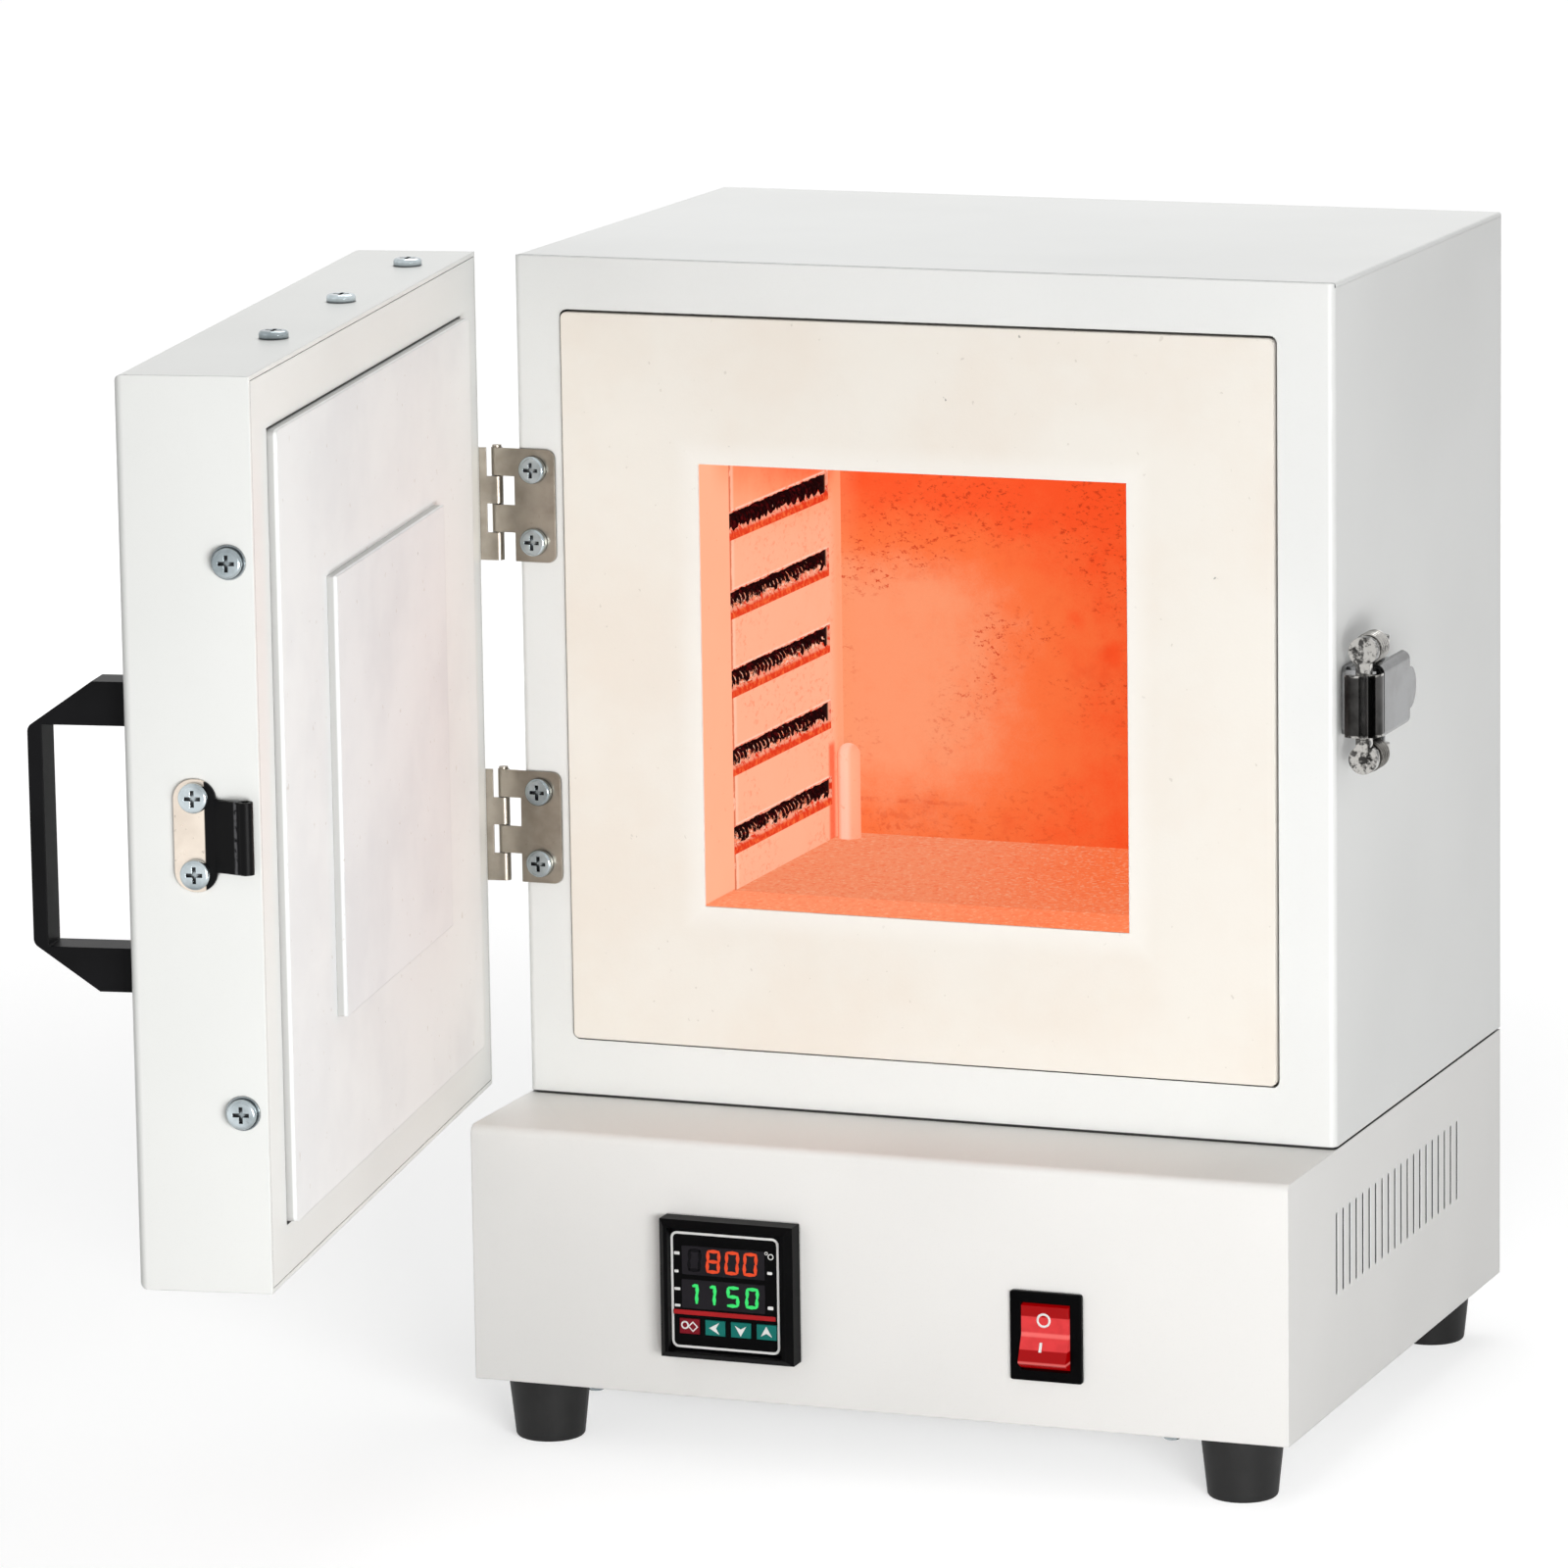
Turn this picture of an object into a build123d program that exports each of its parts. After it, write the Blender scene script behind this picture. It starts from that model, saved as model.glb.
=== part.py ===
from build123d import *
import os
from math import cos, pi, radians, sin, sqrt, tan

# A bench burnout furnace: a furnace body with a square chamber stands on a control box
# that reaches further forward, so that the closed door hangs over the box's ledge.
# X runs to the latch side, Y to the back and Z up. The origin lies on the standing
# surface, midway between the four feet. The door is built closed and then swung open.
# A cutter reaches 1 mm past what it cuts.

# Overall sizes
body_width = 292.0
body_height = 292.0
body_depth = 195.0
ledge_depth = 53.0
box_height = 89.0
foot_height = 22.0

# Sheet metal
sheet = 1.5
fold_radius = 3.0
front_fold_radius = 2.5
top_edge_radius = 1.0
seam = 0.8
slip = 0.2
lip_width = 8.0
lip_screw_gap = 7.2
lip_screw_spread = 99.2
flange_width = 12.8
flange_screw_inset = 8.0
box_back_screw_rise = 16.0
box_back_screw_drop = 14.0
back_panel_screw_inset = 14.0

# Feet
foot_top_radius = 14.2
foot_bottom_radius = 11.8
foot_inset_x = 21.0
foot_inset_y = 15.5
foot_recess_radius = 6.0
foot_recess_depth = 9.0
foot_seat_radius = 5.2
foot_seat_depth = 5.0
foot_edge_radius = 1.5
foot_screw_radius = 2.0
foot_screw_head_gap = 0.8
foot_screw_head_height = 3.0
foot_screw_spare = 5.0
foot_nut_radius = 4.1
foot_nut_height = 3.2
screw_clearance = 0.15

# Inlet gland of the mains cord, in the control box's back
gland_inset = 55.5
gland_height = 44.5
gland_radius = 8.0
gland_thread_length = 8.0
gland_hexagon_radius = 12.0
gland_hexagon_thickness = 5.0
gland_cap_radius = 10.4
gland_cap_length = 12.0
gland_cap_edge = 3.0
gland_nut_radius = 11.0
gland_nut_thickness = 4.0
gland_bore_radius = 1.8

# Side vents of the control box
vent_count = 20
vent_pitch = 7.4
vent_width = 2.0
vent_height = 28.5
vent_centre_height = 53.3

# Controller
controller_size = 48.0
controller_x = -50.5
controller_height = 39.3
controller_proud = 9.0
controller_chamfer = 2.2
controller_housing = 44.4
controller_length = 84.0
face_width = 41.0
face_height = 43.0
face_thickness = 0.8
face_recess = 3.0
face_slip = 0.1
clamp_margin = 3.0
clamp_depth = 12.0
key_width = 7.2
key_height = 5.3
key_pitch = 9.3
key_first_x = -13.8
key_row_drop = 13.0
key_proud = 0.4
key_flange = 0.6
key_flange_thickness = 1.0
key_travel = 0.5
key_gap = 0.15
key_seat_gap = 0.1
key_stop_gap = 0.3
key_edge_radius = 0.25

# Power switch
switch_x = 61.7
switch_height = 31.3
switch_width = 25.2
switch_tall = 30.6
switch_proud = 2.0
switch_wall = 2.35
switch_end_wall = 2.65
switch_corner = 0.8
switch_edge = 0.6
switch_well_depth = 9.75
switch_base_depth = 10.0
switch_tab_spread_x = 9.0
switch_tab_spread_z = 16.0
switch_tab_thickness = 0.8
switch_tab_width = 6.2
switch_tab_length = 10.0
rocker_width = 16.8
rocker_reach = 11.3
rocker_gap = 0.3
rocker_tilt = 12.0
rocker_pivot_depth = 3.5
rocker_crest_proud = 0.3
rocker_back = 5.0
rocker_pin_radius = 1.5
rocker_pin_bite = 1.0
running_gap = 0.05

# Relay on its heat sink, terminal block and wires, on the control box's floor
relay_x = 65.7
relay_y = 60.0
relay_width = 44.0
relay_length = 58.0
relay_tall = 23.0
relay_corner = 2.0
sink_width = 64.0
sink_length = 60.0
sink_tall = 28.0
sink_plate = 4.0
sink_fin_count = 9
sink_fin_pitch = 7.5
sink_fin_thickness = 1.5
terminal_x = -30.0
terminal_y = 71.0
terminal_length = 60.0
terminal_width = 22.0
terminal_tall = 16.0
terminal_well_count = 5
terminal_well_pitch = 12.0
terminal_well_radius = 2.4
terminal_well_depth = 6.0
wire_radius = 1.1
signal_wire_count = 4
signal_wire_spread = 6.0
signal_wire_step = 4.0
signal_wire_run = 26.0
signal_wire_landing = 18.0
signal_wire_rise = 7.0
signal_wire_bend = 9.0
relay_wire_spread = 9.0
relay_wire_run = 12.0
relay_wire_shift = 6.0
relay_wire_stagger = 4.0
relay_wire_rise = 8.0
relay_wire_bend = 5.0

# Refractory lining
frame_left = 17.5
frame_right = 20.5
frame_bottom = 20.75
frame_top = 18.75
frame_corner = 2.5
board_thickness = 28.0
board_proud = 1.5
board_seam = 0.75
board_corner = 2.0
chamber_width = 153.0
chamber_tall = 153.0
chamber_depth = 136.0
chamber_shift_x = -1.0
chamber_shift_z = -0.5
brick_thickness = 25.0
air_gap = 9.0

# Heating coils in the side walls
slot_count = 5
slot_pitch = 27.4
slot_first_height = 17.5
slot_tall = 8.5
slot_deep = 9.0
slot_rear_stop = 12.5
coil_radius = 3.0
coil_wire_radius = 0.6
coil_turns = 8
coil_tail = 2.0
coil_rest_gap = 0.3

# Thermocouple
probe_radius = 4.1
probe_rise = 34.0
probe_corner_x = 5.0
probe_corner_y = 8.5
probe_gap = 0.3
probe_head_width = 26.0
probe_head_depth = 22.0
probe_head_tall = 12.0

# Hinges
pin_outboard = 7.9
knuckle_radius = 2.0
hinge_pin_radius = 0.9
hinge_pin_head_radius = 1.6
hinge_pin_head_height = 0.8
leaf_thickness = 1.1
leaf_reach = 21.9
leaf_tall = 39.0
leaf_corner = 3.0
leaf_notch_body = 7.1
leaf_notch_door = 3.4
leaf_screw_reach = 14.1
leaf_screw_spread = 25.0
knuckle_gap = 0.3
hinge_rise = 94.0
hinge_drop = 86.0

# Door
door_free_inset = 0.4
door_top_rise = 1.0
door_thickness = 43.5
door_lift = 2.5
door_gap = 5.0
door_open_angle = 80.5
door_board_gap = 0.3
door_board_depth = 22.0
plug_gap = 5.0
plug_thickness = 3.4
door_top_screws = (38.0, 128.0, 214.0)
door_top_screw_inset = 14.0
door_edge_screw_rise = 58.0
door_edge_screw_inset = 7.9
door_edge_washer = 0.7

# Door handle
handle_height = 145.0
handle_tall = 99.0
handle_grip_tall = 69.4
handle_opening_tall = 71.0
handle_reach = 34.2
handle_bar = 4.8
handle_foot = 13.0
handle_width = 13.0
handle_inset = 11.5
handle_edge_radius = 3.0
handle_screw_spread = 85.0
handle_screw_length = 11.0
handle_screw_pocket_gap = 1.0

# Keeper on the door's free edge
keeper_height = 148.8
keeper_tall = 35.7
keeper_width = 13.6
keeper_corner = 6.5
keeper_inset = 13.9
keeper_thickness = 1.2
keeper_screw_spread = 24.2
keeper_lip_tall = 22.9
keeper_lip_lap = 0.6
keeper_roll_radius = 2.4
keeper_roll_inset = 3.8
keeper_roll_rise = 3.2

# Draw latch on the right side
latch_height = 151.6
latch_plate_start = 7.0
latch_plate_length = 35.5
latch_plate_tall = 23.0
latch_plate_corner = 2.0
latch_screw_inset = 6.0
latch_screw_pitch = 12.0
latch_ear_thickness = 1.2
latch_ear_radius = 4.5
latch_ear_front = 3.0
lever_pivot_back = 13.0
lever_pivot_out = 7.5
lever_pin_radius = 1.5
lever_tall = 25.2
lever_wall = 1.2
lever_bend = 3.0
lever_top_out = 14.4
lever_start = 9.0
lever_end = 38.0
lever_tip_radius = 7.1
lever_side_gap = 0.2
trunnion_back = 20.5
trunnion_out = 9.5
trunnion_radius = 1.5
trunnion_spare = 0.4
arm_offset = 18.2
arm_radius = 1.6
arm_eye_radius = 3.0
arm_eye_width = 4.4
arm_lap = 0.6
claw_tall = 21.0
claw_wall = 1.6
claw_front = -2.4
claw_back = 5.6
claw_top_out = 15.2
claw_foot_out = 3.7
claw_foot_back = 1.0
claw_nose_thinning = 0.3
claw_bar_start = 0.2
claw_bar_thickness = 3.6
claw_bar_deep = 4.8
spring_seat_radius = 4.9
latch_coil_radius = 4.65
latch_coil_wire_radius = 0.55
latch_coil_turns = 5
latch_coil_tail = 0.8

# Screws
machine_screw_head_radius = 4.8
machine_screw_head_height = 2.6
machine_screw_radius = 2.0
small_screw_head_radius = 3.0
small_screw_head_height = 1.9
small_screw_radius = 1.4
screw_length = 7.0
small_screw_length = 6.0
screw_edge_share = 0.45
screw_recess_length_share = 1.1
screw_recess_width_share = 0.26
screw_washer_share = 1.14

# Places that follow from the sizes
box_depth = body_depth + ledge_depth
box_front = -box_depth / 2
rear = box_depth / 2
body_front = box_front + ledge_depth
side = body_width / 2
box_bottom = foot_height
box_top = box_bottom + box_height
body_top = box_top + body_height
inner_side = side - sheet
box_ceiling = box_top - sheet
body_ceiling = body_top - sheet
body_rear = rear - sheet

board_width = body_width - frame_left - frame_right
board_tall = body_height - frame_bottom - frame_top
board_x = (frame_left - frame_right) / 2
board_z = box_top + body_height / 2 + (frame_bottom - frame_top) / 2
board_face = body_front - board_proud
board_rear = board_face + board_thickness
chamber_x = board_x + chamber_shift_x
chamber_z = board_z + chamber_shift_z
chamber_left = chamber_x - chamber_width / 2
chamber_right = chamber_x + chamber_width / 2
chamber_floor = chamber_z - chamber_tall / 2
chamber_ceiling = chamber_z + chamber_tall / 2
chamber_rear = board_face + chamber_depth
slot_rear = chamber_rear - slot_rear_stop

pin_x = -side - pin_outboard
pin_y = body_front - leaf_thickness + knuckle_radius
door_edge = pin_x + knuckle_radius
door_free_edge = side - door_free_inset
door_face = body_front - door_gap
door_front = door_face - door_thickness
door_bottom = box_top + door_lift
door_top = body_top + door_top_rise
door_board_face = board_face - door_board_gap
plug_face = door_board_face + plug_thickness
plug_width = chamber_width - 2 * plug_gap
plug_tall = chamber_tall - 2 * plug_gap

probe_x = chamber_left + probe_corner_x
probe_y = chamber_rear - probe_corner_y
hinge_places = (box_top + hinge_rise, body_top - hinge_drop)
latch_z = box_top + latch_height
keeper_z = box_top + keeper_height
handle_z = box_top + handle_height


def block(x0, x1, y0, y1, z0, z1):
    """A box between two corners."""
    centre = Pos((x0 + x1) / 2, (y0 + y1) / 2, (z0 + z1) / 2)
    return centre * Box(x1 - x0, y1 - y0, z1 - z0)


def rod(radius, start, end):
    """A round bar from one point to another."""
    length = (Vector(*end) - Vector(*start)).length
    plane = Plane(origin=start, z_dir=Vector(*end) - Vector(*start))
    return plane * Cylinder(radius, length, align=(Align.CENTER, Align.CENTER, Align.MIN))


def pan_screw(seat, outward, head_radius, head_height, shank_radius, shank_length, washer=0.0):
    """A cross-recessed pan head screw whose head, or washer, sits on the seat point."""
    head = Pos(0, 0, washer) * Cylinder(
        head_radius, head_height, align=(Align.CENTER, Align.CENTER, Align.MIN)
    )
    head = fillet(head.edges().group_by(Axis.Z)[-1], head_height * screw_edge_share)
    recess_z = washer + head_height
    for angle in (0, 90):
        head -= Pos(0, 0, recess_z) * Rot(0, 0, angle) * Box(
            head_radius * screw_recess_length_share, head_radius * screw_recess_width_share,
            head_height,
        )
    screw = head + rod(shank_radius, (0, 0, -shank_length), (0, 0, washer))
    if washer > 0:
        screw += rod(head_radius * screw_washer_share, (0, 0, 0), (0, 0, washer))
    return Plane(origin=seat, z_dir=outward) * screw


def machine_screw(seat, outward, length=screw_length, washer=0.0):
    """The larger screw of the hinges, the door and the keeper."""
    return pan_screw(
        seat, outward, machine_screw_head_radius, machine_screw_head_height,
        machine_screw_radius, length, washer,
    )


def small_screw(seat, outward):
    """The smaller screw of the panels."""
    return pan_screw(
        seat, outward, small_screw_head_radius, small_screw_head_height,
        small_screw_radius, small_screw_length,
    )


def group(solids):
    """Separate solids that share one node."""
    return Compound(children=list(solids))


def swing_door(shape):
    """Turns a closed door piece about the hinge pins into its open place."""
    return shape.rotate(Axis((pin_x, pin_y, 0), (0, 0, 1)), -door_open_angle)


def biarc(start, start_tangent, end, end_tangent):
    """Two arcs that leave the start and reach the end along the given directions."""
    chord = end - start
    both = start_tangent + end_tangent
    spread = 2 * (1 - start_tangent.dot(end_tangent))
    along = chord.dot(both)
    reach = (sqrt(along ** 2 + spread * chord.dot(chord)) - along) / spread
    first = start + start_tangent * reach
    second = end - end_tangent * reach
    joint = (first + second) * 0.5
    middle = (second - first).normalized()
    return [
        Edge.make_tangent_arc(start, start_tangent, joint),
        Edge.make_tangent_arc(joint, middle, end),
    ]


def least_gap(edges, wire_radius):
    """The least space between passes of one tube, measured on points of its centre line."""
    points = []
    travelled = 0.0
    for edge in edges:
        for step in range(8):
            points.append((travelled + edge.length * step / 8, edge.position_at(step / 8)))
        travelled += edge.length
    apart = 8 * wire_radius
    least = 1e9
    for i, (here, point) in enumerate(points):
        for there, other in points[i + 1:]:
            if there - here > apart:
                least = min(least, (other - point).length - 2 * wire_radius)
    return least


def coil_tube(axis_x, axis_z, front, back, radius, wire_radius, turns, tail, label):
    """A coiled wire along Y whose ends run straight at the bottom of the coil."""
    bend = 2.6 * wire_radius
    ahead = Vector(0, 1, 0)
    first = front + tail + bend
    last = back - tail - bend
    pitch = (last - first) / turns
    slope = pitch / (2 * pi * radius)

    def helix(half_turns):
        angle = -pi / 2 + pi * half_turns
        point = Vector(
            axis_x + radius * cos(angle),
            first + pitch * half_turns / 2,
            axis_z + radius * sin(angle),
        )
        return point, Vector(-sin(angle), slope, cos(angle)).normalized()

    low = axis_z - radius
    edges = [Edge.make_line((axis_x - bend, front, low), (axis_x - bend, front + tail, low))]
    point, tangent = helix(0)
    edges += biarc(Vector(axis_x - bend, front + tail, low), ahead, point, tangent)
    for half in range(2 * turns):
        here, here_tangent = helix(half)
        there, there_tangent = helix(half + 1)
        edges += biarc(here, here_tangent, there, there_tangent)
    point, tangent = helix(2 * turns)
    edges += biarc(point, tangent, Vector(axis_x + bend, back - tail, low), ahead)
    edges.append(Edge.make_line((axis_x + bend, back - tail, low), (axis_x + bend, back, low)))
    path = Wire(edges)
    section = Plane(origin=edges[0] @ 0, z_dir=ahead) * Circle(wire_radius)
    print(label, "least gap to itself", round(least_gap(edges, wire_radius), 3), "mm")
    return sweep(section, path=path)


def vent_tool(x0, x1, y):
    """The cutter of one vent slot with round ends."""
    z = box_bottom + vent_centre_height
    half = (vent_height - vent_width) / 2
    tool = block(x0, x1, y - vent_width / 2, y + vent_width / 2, z - half, z + half)
    for end in (z - half, z + half):
        tool += rod(vent_width / 2, (x0, y, end), (x1, y, end))
    return tool


def rear_flange(sx, z0, z1):
    """The inward fold at the rear edge of a side, which takes the back panel's screws."""
    x0, x1 = sorted((sx * inner_side, sx * (inner_side - flange_width)))
    return block(x0, x1, body_rear - sheet, body_rear, z0, z1)


foot_places = [
    (sx * (side - foot_inset_x), sy * (box_depth / 2 - foot_inset_y))
    for sx in (-1, 1)
    for sy in (-1, 1)
]
front_lip_screw_x = side - foot_inset_x - foot_top_radius - lip_screw_gap
lip_screw_places = [
    (sx * front_lip_screw_x, box_front + sheet + lip_width / 2)
    for sx in (-1, 1)
] + [
    (sx * (inner_side - lip_width / 2), sy * lip_screw_spread / 2)
    for sx in (-1, 1)
    for sy in (-1, 1)
]
gland_x = -(side - gland_inset)
gland_z = box_bottom + gland_height
controller_z = box_bottom + controller_height
switch_z = box_bottom + switch_height
switch_body_width = rocker_width + 2 * rocker_gap + 2 * switch_wall
switch_body_tall = 2 * (rocker_reach + rocker_gap + switch_end_wall)


def make_control_box():
    """The box under the furnace: cover, floor, back, feet, gland and their screws."""
    cover = block(-side, side, box_front, rear, box_bottom, box_top)
    top_front = cover.edges().filter_by(Axis.X).group_by(Axis.Y)[0].sort_by(Axis.Z)[-1]
    cover = fillet(top_front, fold_radius)
    hollow = block(
        -inner_side, inner_side, box_front + sheet, rear + 1, box_bottom - 1, box_ceiling
    )
    inner_top_front = hollow.edges().filter_by(Axis.X).group_by(Axis.Y)[0].sort_by(Axis.Z)[-1]
    cover -= fillet(inner_top_front, fold_radius - sheet)
    lip_bottom = box_bottom + sheet
    lip_top = lip_bottom + sheet
    cover += block(
        -inner_side, inner_side, box_front + sheet, box_front + sheet + lip_width,
        lip_bottom, lip_top,
    )
    for sx in (-1, 1):
        edges = sorted((sx * inner_side, sx * (inner_side - lip_width)))
        cover += block(edges[0], edges[1], box_front + sheet, body_rear, lip_bottom, lip_top)
    for i in range(vent_count):
        y = (i - (vent_count - 1) / 2) * vent_pitch
        cover -= vent_tool(inner_side - 1, side + 1, y)
        cover -= vent_tool(-side - 1, -inner_side + 1, y)
    cut = controller_housing / 2 + 2 * slip
    cover -= block(
        controller_x - cut, controller_x + cut, box_front - 1, box_front + sheet + 1,
        controller_z - cut, controller_z + cut,
    )
    cover -= block(
        switch_x - switch_body_width / 2 - slip, switch_x + switch_body_width / 2 + slip,
        box_front - 1, box_front + sheet + 1,
        switch_z - switch_body_tall / 2 - slip, switch_z + switch_body_tall / 2 + slip,
    )
    cover -= rod(probe_radius + 2 * probe_gap, (probe_x, probe_y, box_ceiling - 1),
                 (probe_x, probe_y, box_top + 1))

    floor = block(
        -inner_side + slip, inner_side - slip, box_front + sheet + slip, body_rear - slip,
        box_bottom, box_bottom + sheet,
    )
    lip_screws = []
    for x, y in lip_screw_places:
        hole = rod(small_screw_radius + screw_clearance, (x, y, box_bottom - 1), (x, y, lip_top + 1))
        floor -= hole
        cover -= hole
        lip_screws.append(small_screw((x, y, box_bottom), (0, 0, -1)))
    for x, y in foot_places:
        floor -= rod(foot_screw_radius + screw_clearance, (x, y, box_bottom - 1),
                     (x, y, box_bottom + sheet + 1))

    back = block(
        -inner_side + slip, inner_side - slip, body_rear, rear,
        box_bottom, box_ceiling - slip,
    )
    back -= rod(gland_radius + slip, (gland_x, body_rear - 1, gland_z), (gland_x, rear + 1, gland_z))
    back_screws = []
    for sx in (-1, 1):
        cover += rear_flange(sx, lip_top, box_ceiling)
        for z in (box_bottom + box_back_screw_rise, box_ceiling - box_back_screw_drop):
            x = sx * (inner_side - flange_screw_inset)
            hole = rod(small_screw_radius + screw_clearance, (x, body_rear - 9, z), (x, rear + 1, z))
            back -= hole
            cover -= hole
            back_screws.append(small_screw((x, rear, z), (0, 1, 0)))

    feet = []
    foot_fasteners = []
    seat_z = foot_recess_depth + foot_seat_depth
    for x, y in foot_places:
        foot = Pos(x, y, foot_height / 2) * Cone(foot_bottom_radius, foot_top_radius, foot_height)
        foot = fillet(foot.edges().group_by(Axis.Z)[0], foot_edge_radius)
        foot -= rod(foot_recess_radius, (x, y, -1), (x, y, foot_recess_depth))
        foot -= rod(foot_seat_radius, (x, y, foot_recess_depth - 1), (x, y, seat_z))
        foot -= rod(foot_screw_radius + screw_clearance, (x, y, seat_z - 1), (x, y, foot_height + 1))
        feet.append(foot)
        shank = foot_height + sheet + foot_screw_spare - seat_z
        foot_fasteners.append(pan_screw(
            (x, y, seat_z), (0, 0, -1), foot_seat_radius - foot_screw_head_gap,
            foot_screw_head_height, foot_screw_radius, shank,
        ))
        nut_bottom = box_bottom + sheet
        nut_hexagon = RegularPolygon(foot_nut_radius, 6)
        nut = Pos(x, y, nut_bottom) * extrude(nut_hexagon, amount=foot_nut_height)
        nut -= rod(foot_screw_radius + running_gap, (x, y, nut_bottom - 1),
                   (x, y, nut_bottom + foot_nut_height + 1))
        foot_fasteners.append(nut)

    outside = Plane(origin=(gland_x, rear, gland_z), z_dir=(0, 1, 0))
    inside = Plane(origin=(gland_x, body_rear, gland_z), z_dir=(0, -1, 0))
    cap_front = rear + gland_hexagon_thickness
    cap_end = cap_front + gland_cap_length
    thread_end = body_rear - gland_thread_length
    gland = extrude(outside * RegularPolygon(gland_hexagon_radius, 6), amount=gland_hexagon_thickness)
    gland += rod(gland_cap_radius, (gland_x, cap_front, gland_z), (gland_x, cap_end, gland_z))
    gland = fillet(gland.edges().group_by(Axis.Y)[-1], gland_cap_edge)
    gland += rod(gland_radius, (gland_x, thread_end, gland_z), (gland_x, rear + 1, gland_z))
    gland += extrude(inside * RegularPolygon(gland_nut_radius, 6), amount=gland_nut_thickness)
    gland -= rod(gland_bore_radius, (gland_x, thread_end - 1, gland_z), (gland_x, cap_end + 1, gland_z))
    return {
        "control_box_cover": cover,
        "control_box_floor": floor,
        "control_box_back": back,
        "box_screws": group(lip_screws + back_screws),
        "rubber_feet": group(feet),
        "foot_screws": group(foot_fasteners),
        "cable_gland": gland,
    }


def make_controller():
    """The square temperature controller with its face, four keys and clamp."""
    half = controller_size / 2
    front = box_front - controller_proud
    bezel = block(
        controller_x - half, controller_x + half, front, box_front,
        controller_z - half, controller_z + half,
    )
    bezel = chamfer(bezel.faces().sort_by(Axis.Y)[0].edges(), controller_chamfer)
    housing_half = controller_housing / 2
    body = bezel + block(
        controller_x - housing_half, controller_x + housing_half,
        box_front - 1, box_front + controller_length,
        controller_z - housing_half, controller_z + housing_half,
    )
    face_front = front + face_recess
    face_box = block(
        controller_x - face_width / 2, controller_x + face_width / 2,
        front - 1, face_front + face_thickness,
        controller_z - face_height / 2, controller_z + face_height / 2,
    )
    body -= face_box
    face_half_x = face_width / 2 - face_slip
    face_half_z = face_height / 2 - face_slip
    face = block(
        controller_x - face_half_x, controller_x + face_half_x,
        face_front, face_front + face_thickness,
        controller_z - face_half_z, controller_z + face_half_z,
    )
    keys = {}
    key_z = controller_z - key_row_drop
    for i, name in enumerate(("key_set", "key_left", "key_down", "key_up")):
        x = controller_x + key_first_x + i * key_pitch
        window_x = key_width / 2 + key_gap
        window_z = key_height / 2 + key_gap
        face -= block(x - window_x, x + window_x, face_front - 1, face_front + face_thickness + 1,
                      key_z - window_z, key_z + window_z)
        flange_x = key_width / 2 + key_flange
        flange_z = key_height / 2 + key_flange
        flange_front = face_front + face_thickness + key_seat_gap
        flange_back = flange_front + key_flange_thickness
        body -= block(x - flange_x - key_gap, x + flange_x + key_gap,
                      face_front + face_thickness - face_slip,
                      flange_back + key_travel + key_stop_gap,
                      key_z - flange_z - key_gap, key_z + flange_z + key_gap)
        key = block(x - key_width / 2, x + key_width / 2, face_front - key_proud, flange_front,
                    key_z - key_height / 2, key_z + key_height / 2)
        key = fillet(key.faces().sort_by(Axis.Y)[0].edges(), key_edge_radius)
        key += block(x - flange_x, x + flange_x, flange_front, flange_back,
                     key_z - flange_z, key_z + flange_z)
        keys[name] = key
    clamp_front = box_front + sheet
    clamp_back = clamp_front + clamp_depth
    outer = half + clamp_margin
    inner = housing_half + slip
    clamp = block(controller_x - outer, controller_x + outer, clamp_front, clamp_back,
                  controller_z - outer, controller_z + outer)
    clamp -= block(controller_x - inner, controller_x + inner, clamp_front - 1, clamp_back + 1,
                   controller_z - inner, controller_z + inner)
    return {"controller_body": body, "controller_face": face, "controller_clamp": clamp, **keys}


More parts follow.
